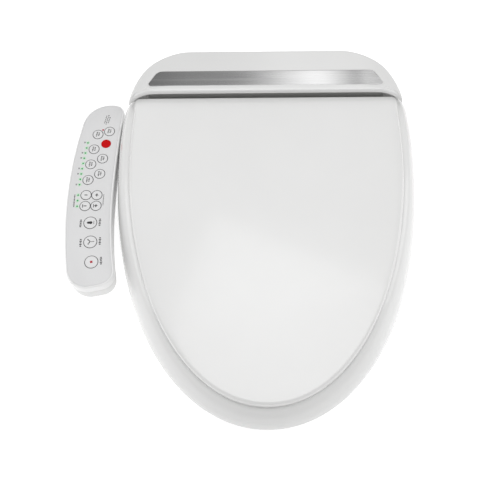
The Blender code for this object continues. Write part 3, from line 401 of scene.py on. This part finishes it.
def cut(obj, *tools, solver="EXACT"):
    """Cuts closed bmeshes from an object."""
    helpers = []
    for bm in tools:
        mesh = bpy.data.meshes.new("tool")
        bmesh.ops.recalc_face_normals(bm, faces=bm.faces)
        bm.to_mesh(mesh)
        bm.free()
        helper = bpy.data.objects.new("tool", mesh)
        bpy.context.scene.collection.objects.link(helper)
        modifier = obj.modifiers.new("Cut", "BOOLEAN")
        modifier.object = helper
        modifier.solver = solver
        helpers.append(helper)
    apply_all(obj)
    for helper in helpers:
        bpy.data.objects.remove(helper)


def subdivide(obj, levels=2):
    modifier = obj.modifiers.new("Smooth", "SUBSURF")
    modifier.levels = modifier.render_levels = levels


def at_height(points, z):
    return [Vector((p[0], p[1], z)) for p in points]


def skin(rings, closed_round=False, cap_first=False, cap_last=False, point_last=None, point_first=None):
    bm = bmesh.new()
    rows = [[bm.verts.new(p) for p in ring] for ring in rings]
    pairs = list(zip(rows, rows[1:]))
    if closed_round:
        pairs.append((rows[-1], rows[0]))
    for low, high in pairs:
        for i in range(len(low)):
            j = (i + 1) % len(low)
            bm.faces.new((low[i], low[j], high[j], high[i]))
    if cap_first:
        bm.faces.new(reversed(rows[0]))
    if cap_last:
        bm.faces.new(rows[-1])
    for point, row in ((point_first, rows[0]), (point_last, rows[-1])):
        if point:
            tip = bm.verts.new(point)
            for i in range(len(row)):
                bm.faces.new((row[i], row[(i + 1) % len(row)], tip))
    return bm


def solid(rings):
    return skin(rings, cap_first=True, cap_last=True)


def offset(points, distance):
    moved = []
    count = len(points)
    for i, point in enumerate(points):
        before, here, after = (Vector(points[k % count][:2]) for k in (i - 1, i, i + 1))
        first, second = (here - before).normalized(), (after - here).normalized()
        normal = Vector((-first.y, first.x)) + Vector((-second.y, second.x))
        normal.normalize()
        moved.append(here + normal * distance / max(normal.dot(Vector((-first.y, first.x))), 0.6))
    return moved


def mirrored(half):
    return [Vector(p) for p in half] + [Vector((-p[0], p[1])) for p in half[-2:0:-1]]


def superellipse(a, b, exponent, angle):
    c, s = math.cos(angle), math.sin(angle)
    power = 2 / exponent
    return a * math.copysign(abs(c) ** power, c), b * math.copysign(abs(s) ** power, s)


def front_arc(a, centre_y, front_y, exponent, steps):
    points = []
    for k in range(steps + 1):
        x, y = superellipse(a, centre_y - front_y, exponent, math.radians(-90 + 90 * k / steps))
        points.append((x if k else 0.0, centre_y + y))
    return points


# ---------------------------------------------------------------- lid

def lid_plane(y):
    return LID_REAR_Z + (y - LID_REAR_Y) * LID_FALL


def lid_outline():
    half_width = SEAT_HALF_WIDTH - LID_INSET
    half = front_arc(half_width, LID_WIDEST_Y, -SEAT_FRONT + LID_FRONT_INSET, LID_SHAPE, 48)
    rear_half = half_width - LID_NARROWING
    side_length = LID_REAR_Y - LID_CORNER - LID_WIDEST_Y
    for k in range(1, 9):
        share = k / 8
        half.append((half_width - LID_NARROWING * share ** 1.6, LID_WIDEST_Y + side_length * share))
    for k in range(1, 10):
        angle = math.radians(10 * k)
        half.append((rear_half - LID_CORNER + LID_CORNER * math.cos(angle),
                     LID_REAR_Y - LID_CORNER + LID_CORNER * math.sin(angle)))
    half += [(rear_half * k / 8, LID_REAR_Y) for k in range(7, -1, -1)]
    return mirrored(half)


def make_lid():
    outline = lid_outline()

    def level(inset, drop):
        points = offset(outline, inset) if inset else outline
        return [Vector((p.x, p.y, lid_plane(p.y) - drop)) for p in points]

    def rounding(angle):
        """The top edge, which is rounder at the front and the sides than at the rear."""
        wide = offset(outline, SOFT_EDGE[0] * (1 - math.cos(angle)))
        tight = offset(outline, CRISP_EDGE[0] * (1 - math.cos(angle)))
        points = []
        for soft, crisp in zip(wide, tight):
            share = min(max((CRISP_EDGE_Y - crisp.y) / CRISP_EDGE_LENGTH, 0.0), 1.0)
            drop = CRISP_EDGE[1] + (SOFT_EDGE[1] - CRISP_EDGE[1]) * share
            p = crisp.lerp(soft, share)
            points.append(Vector((p.x, p.y, lid_plane(p.y) - drop * (1 - math.sin(angle)))))
        return points

    def inner(share, drop):
        points = [LID_MIDDLE + (p - LID_MIDDLE) * share for p in outline]
        rise = LID_CROWN * (1 - share ** 2) - drop
        return [Vector((p.x, p.y, lid_plane(p.y) + rise)) for p in points]

    rings = [inner(s, LID_WALL) for s in (0.1, 0.3, 0.5, 0.7, 0.85, 0.93)]
    rings += [level(0.0038, 0.0040), level(0.0034, 0.0052)]
    rings += [level(0.003, LID_RIM - 0.0003), level(0.0027, LID_RIM)]
    rings += [level(0.0006, LID_RIM), level(0.0002, LID_RIM - 0.0002), level(0.0, LID_RIM - 0.0006)]
    rings += [rounding(math.radians(11.25 * k)) for k in range(9)]
    rings += [inner(s, 0.0) for s in (0.945, 0.90, 0.82, 0.72, 0.6, 0.46, 0.32, 0.18, 0.08)]
    top = Vector((0, LID_MIDDLE.y, lid_plane(LID_MIDDLE.y) + LID_CROWN))
    bm = skin(rings, point_last=top, point_first=top - Vector((0, 0, LID_WALL)))
    piece("lid_shell", bm, [WHITE], "lid", ["lid"])


# ---------------------------------------------------------------- seat

def seat_rim(y):
    return lid_plane(y) - LID_RIM - LID_CLEARANCE


def seat_outline(half_width, front_y, centre_y, exponent):
    half = front_arc(half_width, centre_y, front_y, exponent, ARC_STEPS)
    half += [(half_width - inwards, EAR_REAR_Y - forward) for inwards, forward in EAR_CORNER]
    half += [(EAR_INNER_X, EAR_REAR_Y), (NOTCH_BACK, SEAT_REAR_Y), (NOTCH_FRONT, NOTCH_FRONT_Y),
             (NOTCH_FRONT / 2, NOTCH_FRONT_Y), (0.0, NOTCH_FRONT_Y)]
    return mirrored(half)


def seat_opening(outline):
    points = []
    for point in outline:
        ray = point - OPENING_CENTRE
        angle = math.atan2(ray.y, ray.x)
        reach = (abs(math.cos(angle) / OPENING_HALF_WIDTH) ** OPENING_SHAPE
                 + abs(math.sin(angle) / OPENING_HALF_LENGTH) ** OPENING_SHAPE) ** (-1 / OPENING_SHAPE)
        points.append(OPENING_CENTRE + reach * Vector((math.cos(angle), math.sin(angle))))
    return points


def skirt_power(y):
    share = min(max((y - SKIRT_CHANGE_Y) / SKIRT_CHANGE_LENGTH, 0.0), 1.0)
    return SKIRT_POWER_FRONT + (SKIRT_POWER_REAR - SKIRT_POWER_FRONT) * share


def make_seat():
    foot = seat_outline(SEAT_HALF_WIDTH, -SEAT_FRONT, SEAT_WIDEST_Y, SEAT_SHAPE)
    top = seat_outline(SEAT_HALF_WIDTH - LID_INSET - SEAT_UNDER_LID,
                       -SEAT_FRONT + LID_FRONT_INSET + SEAT_UNDER_LID, LID_WIDEST_Y, LID_SHAPE)
    opening = seat_opening(foot)
    edge = NOTCH_FRONT + 0.001
    feet = [BRIDGE_FOOT if abs(p.x) < edge and p.y > NOTCH_FRONT_Y - 0.006 else SEAT_FOOT for p in foot]
    rings = []
    for k in range(9):
        angle = math.radians(11.25 * k)
        ring = []
        for low, high, z in zip(foot, top, feet):
            power = skirt_power(low.y)
            p = low.lerp(high, 1 - max(math.cos(angle), 0.0) ** power)
            ring.append(Vector((p.x, p.y, z + (seat_rim(high.y) - z) * math.sin(angle) ** power)))
        rings.append(ring)
    for share, rise in SEAT_TOP[1:]:
        points = [a.lerp(b, share) for a, b in zip(top, opening)]
        rings.append([Vector((p.x, p.y, seat_rim(p.y) + rise)) for p in points])
    rings.append([Vector((p.x, p.y, z + 0.003)) for p, z in zip(opening, feet)])
    seat = piece("seat_ring", skin(rings), [WHITE], "seat", ["seat_top"])
    subdivide(seat, 1)
    wall = seat.modifiers.new("Wall", "SOLIDIFY")
    wall.thickness = SEAT_WALL
    wall.offset = -1
    apply_all(seat)
    relief = bmesh.new()
    for sign in (1, -1):
        xs = sorted((sign * RELIEF_X[0], sign * RELIEF_X[1]))
        corners = [(xs[0], RELIEF_FRONT_Y), (xs[1], RELIEF_FRONT_Y),
                   (xs[1], RELIEF_REAR_Y), (xs[0], RELIEF_REAR_Y)]
        prism(relief, corners, RELIEF_Z, LID_REAR_Z)
    cut(seat, relief, solver="MANIFOLD")


# ---------------------------------------------------------------- casing

def case_half(front_y, widen=0.0, reach=0.0):
    side = SEAT_HALF_WIDTH - CASE_INSET + widen
    half = [(0.0, front_y), (0.085, front_y), (side - 0.034, front_y), (side - 0.026, front_y),
            (side - 0.006, front_y + 0.3 * (HORN_Y - front_y)), (side - 0.003, HORN_Y + 0.001),
            (side, HORN_Y)]
    width, depth = side - CASE_FLAT, CASE_REAR + reach - HORN_Y
    for k in range(1, 17):
        x, y = superellipse(width, depth, CASE_SHAPE, math.radians(90 * k / 16))
        half.append((CASE_FLAT + (x if k < 16 else 0.0), HORN_Y + y))
    half += [(0.056, CASE_REAR + reach), (0.0, CASE_REAR + reach)]
    return half


def case_outline(front_y, widen=0.0, reach=CASE_ROUNDING_REACH):
    return mirrored(case_half(front_y, widen, reach))


def wall_outline(front_y, widen):
    half = case_half(front_y, widen)
    return mirrored([(x, max(y, front_y + 0.0015 * max(k - 3, 0))) for k, (x, y) in enumerate(half)])


def case_top(x, y):
    side = SEAT_HALF_WIDTH - CASE_INSET
    beyond = max(0.0, (abs(x) - (side - HORN_RUN)) / HORN_RUN)
    return CASE_HEIGHT - CASE_FALL * (y - LIP_Y) - HORN_DROP * min(beyond, 1.0) ** 1.6


def side_wall_x(y, widen, wall):
    share = max(y - HORN_Y, 0.0) / (CASE_REAR - HORN_Y - wall)
    width = SEAT_HALF_WIDTH - CASE_INSET + widen - wall - CASE_FLAT
    return CASE_FLAT + width * max(1 - share ** CASE_SHAPE, 0.0) ** (1 / CASE_SHAPE)


def room_half(widen):
    front = WALL_Y + WALL
    half = [(0.0, front), (side_wall_x(front, widen, WALL) - 0.012, front)]
    for k in range(1, 16):
        y = front + 0.004 + (CASE_REAR - WALL - front - 0.004) * (1 - (1 - k / 16) ** 2)
        half.append((side_wall_x(y, widen, WALL), y))
    half.append((0.0, CASE_REAR - WALL))
    return half


def rounded(corners, steps=10):
    points = []
    count = len(corners)
    for i, (x, y, radius) in enumerate(corners):
        here = Vector((x, y))
        before = (Vector(corners[i - 1][:2]) - here).normalized()
        after = (Vector(corners[(i + 1) % count][:2]) - here).normalized()
        half = before.angle(after) / 2
        reach = radius / math.tan(half)
        centre = here + (before + after).normalized() * radius / math.sin(half)
        start, end = here + before * reach - centre, here + after * reach - centre
        turn = start.angle_signed(end)
        for k in range(steps + 1):
            angle = -turn * k / steps
            points.append(centre + Vector((start.x * math.cos(angle) - start.y * math.sin(angle),
                                           start.x * math.sin(angle) + start.y * math.cos(angle))))
    return points


TRIM_OUTLINE = rounded(TRIM_CORNERS)


def trim_level(inset, rise):
    return [Vector((p.x, p.y, case_top(0.0, p.y) + rise)) for p in offset(TRIM_OUTLINE, inset)]


def make_casing():
    def level(outline, drop):
        return [Vector((p[0], p[1], case_top(p[0], p[1]) - drop)) for p in outline]

    top = case_outline(LIP_Y)
    rings = [at_height(wall_outline(WALL_Y, CASE_DRAFT), COVER_FOOT),
             at_height(wall_outline(WALL_Y, CASE_DRAFT), COVER_FOOT + 0.001),
             at_height(wall_outline(WALL_Y, 0.0014), HORN_FOOT - 0.004),
             at_height(wall_outline(WALL_Y, 0.0012), HORN_FOOT),
             level(case_outline(WALL_Y, 0.0010), LIP_THICKNESS + 0.0018),
             level(case_outline(WALL_Y, 0.0008), LIP_THICKNESS + 0.0006),
             level(case_outline(LIP_Y + 0.001, 0.0002), LIP_THICKNESS - 0.0002),
             level(top, LIP_THICKNESS - 0.0008)]
    for inset, drop in ((0.0, 0.0046), (0.0003, 0.0028), (0.0012, 0.0012), (0.0026, 0.0004), (0.0044, 0.0)):
        rings.append(level(offset(top, inset), drop))
    for share, front in ((0.93, 0.0062), (0.90, 0.0065), (0.84, 0.0080)):
        inner = [(p.x * share, max(0.018 + (p.y - 0.018) * (share - 0.04), LIP_Y + front)) for p in top]
        rings.append(level(inner, 0.0))
    cover = piece("casing_cover", solid(rings), [WHITE], "casing", ["rear_cover"])
    subdivide(cover)
    room = solid([at_height(mirrored(room_half(CASE_DRAFT)), COVER_FOOT - 0.005),
                  level(mirrored(room_half(0.0)), WALL + 0.001)])
    recess = solid([trim_level(-0.0004, -TRIM_THICKNESS - GAP), trim_level(-0.0004, 0.004)])
    half_width, rear_y, top_z = PASSAGE
    corners = [(-half_width, LIP_Y), (half_width, LIP_Y), (half_width, rear_y), (-half_width, rear_y)]
    passage = solid([at_height(corners, COVER_FOOT - 0.005), at_height(corners, top_z)])
    cut(cover, room, passage, recess)
    plate = solid([trim_level(0.0, -TRIM_THICKNESS), trim_level(0.0, -0.00035),
                   trim_level(0.0001, -0.00012), trim_level(0.0004, 0.0)])
    piece("trim_strip", plate, [TRIM_PAINTED_REFLECTION], "casing", ["trim_plate"], 20)


# ---------------------------------------------------------------- arm

def arm_point(column, along):
    angle = along / (ARM_BEND_RADIUS - ARM_WIDTH / 2)
    reach = ARM_BEND_RADIUS - column
    return Vector((ARM_CENTRE_X - reach * math.cos(angle), ARM_MIDDLE_Y + reach * math.sin(angle)))


def arm_taper(column, along):
    middle = ARM_WIDTH / 2
    side = min(max((column - middle) / (0.8 * middle), 0.0), 1.0)
    return ARM_TAPER * side * (max(0.0, along) / ARM_REAR) ** 2


def arm_outline(inset=0.0, steps=14, run=18):
    near, far = inset, ARM_WIDTH - inset
    front, rear = ARM_FRONT + inset, ARM_REAR - inset
    corners = ((far, front, 1, -1), (far, rear, 1, 1), (near, rear, -1, 1), (near, front, -1, -1))
    side_ends = {0: rear - ARM_CORNERS[1] + inset, 2: front + ARM_CORNERS[3] - inset}
    points = []
    for k, (column, along, side, end) in enumerate(corners):
        radius = ARM_CORNERS[k] - inset
        for j in range(steps + 1):
            angle = math.radians(90 * (k - 1) + 90 * j / steps)
            points.append((column + side * radius * (abs(math.cos(angle)) - 1),
                           along + end * radius * (abs(math.sin(angle)) - 1)))
        if k in side_ends:
            start = points[-1][1]
            points += [(column, start + (side_ends[k] - start) * j / run) for j in range(1, run)]
    return [arm_point(column - arm_taper(column, along), along) for column, along in points]


def button_list():
    left = ("pressure", "water_warmth", "seat_warmth", "spray_place", "minus", "less")
    right = ("saving", "power", "air_warmth", "pulse", "plus", "more")
    rows = [(n, LEFT_COLUMN, a, BUTTON_RADIUS) for n, a in zip(left, LEFT_BUTTONS)]
    rows += [(n, RIGHT_COLUMN, a, BUTTON_RADIUS) for n, a in zip(right, RIGHT_BUTTONS)]
    modes = ("rear_wash", "front_wash", "stop")
    rows += [(n, MODE_COLUMN, a, MODE_RADIUS) for n, a in zip(modes, MODE_BUTTONS)]
    return rows


def prism(bm, outline, low, high, look=0):
    """Adds an upright prism to a bmesh."""
    below, above = ([bm.verts.new((p[0], p[1], z)) for p in outline] for z in (low, high))
    faces = []
    for i in range(len(outline)):
        j = (i + 1) % len(outline)
        faces.append(bm.faces.new((below[i], below[j], above[j], above[i])))
    faces += [bm.faces.new(reversed(below)), bm.faces.new(above)]
    for face in faces:
        face.material_index = look


def circle(centre, radius, sides=40):
    angles = [2 * math.pi * k / sides for k in range(sides)]
    return [(centre[0] + radius * math.cos(a), centre[1] + radius * math.sin(a)) for a in angles]


def hole_tools(low, high):
    bm = bmesh.new()
    for _, column, along, radius in button_list():
        prism(bm, circle(arm_point(column, along), radius + BUTTON_GAP, 48), low, high)
    for along in LEVEL_LAMPS:
        prism(bm, circle(arm_point(LAMP_COLUMN, along), LAMP_HOLE, 20), low, high)
    prism(bm, circle(arm_point(*POWER_LAMP), POWER_LAMP_HOLE, 20), low, high)
    return bm


def make_arm():
    draft = ((0.0060, ARM_FOOT), (0.0048, ARM_FOOT + 0.0001), (0.0036, ARM_FOOT + 0.0006),
             (0.0028, ARM_FOOT + 0.0015), (0.0022, ARM_FOOT + 0.0035), (0.0018, ARM_FOOT + 0.007),
             (0.0010, 0.021), (0.0005, ARM_SPLIT_Z - 0.0004), (0.0009, ARM_SPLIT_Z))
    bowl = skin([at_height(arm_outline(i), z) for i, z in draft], cap_first=True)
    base = piece("arm_foot", bowl, [WARM_WHITE], "casing", ["arm_base"])
    wall = base.modifiers.new("Wall", "SOLIDIFY")
    wall.thickness = 0.002
    wall.offset = -1
    apply_all(base)
    rim = OVERLAY_INSET - GAP
    seam = ARM_SPLIT_Z + GAP
    draft = [(0.0009, seam), (0.0005, seam + 0.0004), (0.0002, ARM_HEIGHT - 0.006)]
    for k in range(7):
        angle = math.radians(15 * k)
        draft.append((0.0002 + ARM_ROUNDING * (1 - math.cos(angle)),
                      ARM_HEIGHT - ARM_ROUNDING * (1 - math.sin(angle))))
    draft += [(rim - 0.0002, ARM_HEIGHT), (rim, ARM_HEIGHT - 0.0002), (rim, ARM_TOP)]
    shell = piece("arm_shell", solid([at_height(arm_outline(i), z) for i, z in draft]), [ARM_WHITE],
                  "casing", ["arm_cover"])
    room = solid([at_height(arm_outline(WALL + 0.0012), ARM_SPLIT_Z - 0.005),
                  at_height(arm_outline(WALL + 0.0004), ARM_TOP - WALL)])
    cut(shell, room, hole_tools(ARM_TOP - 0.008, ARM_HEIGHT + 0.004))
    face = [(OVERLAY_INSET, ARM_TOP + GAP), (OVERLAY_INSET, FACE_Z - 0.0001),
            (OVERLAY_INSET + 0.0002, FACE_Z)]
    film = piece("keypad_face", solid([at_height(arm_outline(i), z) for i, z in face]), [FILM],
                 "casing", ["keypad_overlay"])
    cut(film, hole_tools(ARM_TOP - 0.002, ARM_HEIGHT + 0.004))


PRINT_SINK = 0.00002
PRINT_RISE = 0.00005


def bar(bm, column, along, wide, long, look=0, low=FACE_Z - PRINT_SINK):
    """A printed mark: wide across the arm, long along it."""
    corners = ((-1, -1), (1, -1), (1, 1), (-1, 1))
    outline = [arm_point(column + u * wide / 2, along + v * long / 2) for u, v in corners]
    area = sum(a[0] * b[1] - b[0] * a[1] for a, b in zip(outline, outline[1:] + outline[:1]))
    prism(bm, outline if area > 0 else outline[::-1], low, low + PRINT_RISE, look)


def dashes(bm, column, along, wide, long, count, look=0, low=FACE_Z - PRINT_SINK, tilt=0.0):
    """A row of short dashes along the arm, in place of printed words."""
    step = long / count
    for k in range(count):
        share = 1.0 if k % 2 else 0.72
        place = along + (k - (count - 1) / 2) * step
        bar(bm, column + tilt * (k - count / 2), place, wide * share, step * 0.62, look, low)


def ring(bm, centre, inner, outer, low, high, look=0, sides=48):
    rows = [[bm.verts.new((*p, z)) for p in circle(centre, r, sides)]
            for r, z in ((inner, low), (outer, low), (outer, high), (inner, high))]
    for k in range(4):
        a, b = rows[k], rows[(k + 1) % 4]
        for i in range(sides):
            j = (i + 1) % sides
            bm.faces.new((a[i], a[j], b[j], b[i])).material_index = look


def make_prints():
    bm = bmesh.new()
    low, high = FACE_Z - PRINT_SINK, FACE_Z - PRINT_SINK + PRINT_RISE
    for name, column, along, radius in button_list():
        if name != "power":
            ring(bm, arm_point(column, along), radius + BUTTON_GAP, radius + 0.00095, low, high)
    for k, along in enumerate(LEVEL_LAMPS[:9]):
        if k % 3 != 1:
            dashes(bm, LAMP_COLUMN - 0.0045, along, 0.0024, 0.0026, 2, 0)
    dashes(bm, LAMP_COLUMN - 0.0047, LEVEL_LAMPS[10], 0.0020, 0.0200, 9, 0)
    dashes(bm, RIGHT_COLUMN + 0.0098, LEVEL_LAMPS[10] + 0.001, 0.0013, 0.0190, 9, 0)
    for along, sides in zip(MODE_BUTTONS, ((-1, 1), (-1, 1), (1,))):
        for side in sides:
            dashes(bm, MODE_COLUMN + side * 0.0134, along, 0.0032, 0.0125, 5, 0, tilt=0.0002)
    for column, long, count in ((0.0318, 0.0150, 5), (0.0345, 0.0180, 6), (0.0372, 0.0120, 4)):
        dashes(bm, column, 0.1365, 0.0014, long, count, 1)
    for along in LEVEL_LAMPS:
        ring(bm, arm_point(LAMP_COLUMN, along), LAMP_HOLE, 0.0030, low, high, 2, 24)
    piece("keypad_print", bm, [INK, INK_GREY, INK_GREEN], "casing")


def icon(bm, name, column, along, top):
    """A generic pictogram on a button's cap."""
    low = top - PRINT_SINK
    if name in ("minus", "plus", "less", "more"):
        bar(bm, column, along, 0.0044, 0.0013, 1, low)
        if name in ("plus", "more"):
            bar(bm, column, along + 0.0015, 0.0013, 0.0017, 1, low)
            bar(bm, column, along - 0.0015, 0.0013, 0.0017, 1, low)
        if name in ("less", "more"):
            bar(bm, column - 0.0034, along, 0.0010, 0.0052, 1, low)
    elif name == "rear_wash":
        centre = arm_point(column + 0.0008, along)
        drop = []
        for k in range(24):
            angle = 2 * math.pi * k / 24
            reach = 0.0022 + 0.0036 * max(0.0, math.cos(angle)) ** 7
            drop.append((centre.x - reach * math.cos(angle), centre.y - reach * math.sin(angle)))
        prism(bm, drop, low, low + PRINT_RISE, 1)
        for k in (-1, 0, 1):
            bar(bm, column + 0.0050, along + 0.0020 * k, 0.0016, 0.0008, 1, low)
    elif name == "front_wash":
        for c, a in ((-0.0030, 0.0036), (-0.0016, 0.0022), (-0.0004, 0.0006), (-0.0014, -0.0012),
                     (-0.0028, -0.0030)):
            bar(bm, column + c, along + a, 0.0018, 0.0015, 1, low)
        for k in range(3):
            bar(bm, column + 0.0018 + 0.0016 * k, along, 0.0011, 0.0011, 1, low)
    elif name == "stop":
        bar(bm, column, along, 0.0034, 0.0034, 2, low)
    elif name != "power":
        dashes(bm, column - 0.0015, along, 0.0022, 0.0086, 4, 1, low)
        dashes(bm, column + 0.0015, along + 0.0004, 0.0022, 0.0070, 3, 1, low)


def make_buttons():
    under = ARM_TOP - WALL - GAP
    top = FACE_Z + BUTTON_PROUD
    for name, column, along, radius in button_list():
        place = arm_point(column, along)
        profile = [(radius + 0.0006, under - 0.0012), (radius + 0.0006, under), (radius, under)]
        for angle in (math.radians(30 * k) for k in range(4)):
            profile.append((radius - CAP_ROUNDING * (1 - math.cos(angle)),
                            top - CAP_ROUNDING * (1 - math.sin(angle))))
        profile += [(radius * 0.5, top)]
        rings = [[Vector((*p, z)) for p in circle(place, r, 48)] for r, z in profile]
        bm = skin(rings, cap_first=True, cap_last=True)
        prism(bm, circle(place, 0.002, 16), under - 0.0055, under - 0.0012)
        icon(bm, name, column, along, top)
        look = RED if name == "power" else CAP
        piece("cap_" + name, bm, [look, INK, INK_RED], "button_" + name, ["button_" + name])


def make_lamps():
    bm = bmesh.new()
    for along in LEVEL_LAMPS:
        prism(bm, circle(arm_point(LAMP_COLUMN, along), LAMP_HOLE - 0.00008, 20), 0.0400, FACE_Z + 0.00004)
    piece("level_lamps", bm, [GREEN], "casing", ())


make_lid()
make_seat()
make_casing()
make_arm()
make_prints()
make_buttons()
make_lamps()


# ---------------------------------------------------------------- studio

FLOOR_GLOW = 0.46
WORLD_STRENGTH = 0.42
ELEVATION = math.radians(63.8)
DISTANCE = 1.2
TARGET = Vector((0.0, -0.21, 0.06))
ROLL = math.radians(-0.5)
FOCAL_LENGTH = 65.1
SHIFT = (-0.056, -0.024)


def make_floor():
    bm = bmesh.new()
    bmesh.ops.create_grid(bm, x_segments=1, y_segments=1, size=6.0)
    mesh = bpy.data.meshes.new("floor")
    bm.to_mesh(mesh)
    bm.free()
    floor = bpy.data.objects.new("floor", mesh)
    bpy.context.scene.collection.objects.link(floor)
    n = Nodes("floor")
    n.into("Base Color", n.ramp(n.noise(3.0), (0.90, 0.90, 0.90), (0.92, 0.92, 0.92)))
    n.set(Roughness=0.9, Emission_Color=(1, 1, 1, 1), Emission_Strength=FLOOR_GLOW)
    mesh.materials.append(n.material)


def area(name, place, target, size, power, size_y=None):
    data = bpy.data.lights.new(name, "AREA")
    data.energy = power
    data.size = size
    if size_y:
        data.shape = "RECTANGLE"
        data.size_y = size_y
    lamp_object = bpy.data.objects.new(name, data)
    bpy.context.scene.collection.objects.link(lamp_object)
    lamp_object.location = place
    lamp_object.rotation_euler = (Vector(target) - Vector(place)).to_track_quat("-Z", "Y").to_euler()
    return lamp_object


make_floor()
world = bpy.data.worlds.new("studio")
bpy.context.scene.world = world
world.use_nodes = True
world.node_tree.nodes["Background"].inputs["Color"].default_value = (1.0, 1.0, 1.0, 1)
world.node_tree.nodes["Background"].inputs["Strength"].default_value = WORLD_STRENGTH
area("key", (0.05, -0.42, 1.25), (0, -0.40, 0), 0.8, 4.6)
area("top", (-0.2, 0.6, 2.0), (0, -0.15, 0), 1.6, 6.5)
for side in (-1, 1):
    area("side", (1.0 * side, -0.15, 0.55), (0.15 * side, -0.20, 0.05), 0.6, 1.9)
area("card", (0.10, 0.42, 0.40), (0.03, 0, 0.117), 0.22, 0.12, 0.3)

view = bpy.context.scene.view_settings
view.view_transform = "Standard"
view.look = "None"

camera_data = bpy.data.cameras.new("camera")
camera = bpy.data.objects.new("camera", camera_data)
bpy.context.scene.collection.objects.link(camera)
back = Vector((0.0, -math.cos(ELEVATION), math.sin(ELEVATION)))
camera.location = TARGET + back * DISTANCE
facing = (-back).to_track_quat("-Z", "Y").to_matrix().to_4x4() @ Matrix.Rotation(ROLL, 4, "Z")
camera.matrix_world = Matrix.Translation(camera.location) @ facing
camera_data.sensor_width = 36.0
camera_data.lens = FOCAL_LENGTH
camera_data.shift_x, camera_data.shift_y = SHIFT
camera_data.clip_start = 0.05
bpy.context.scene.camera = camera
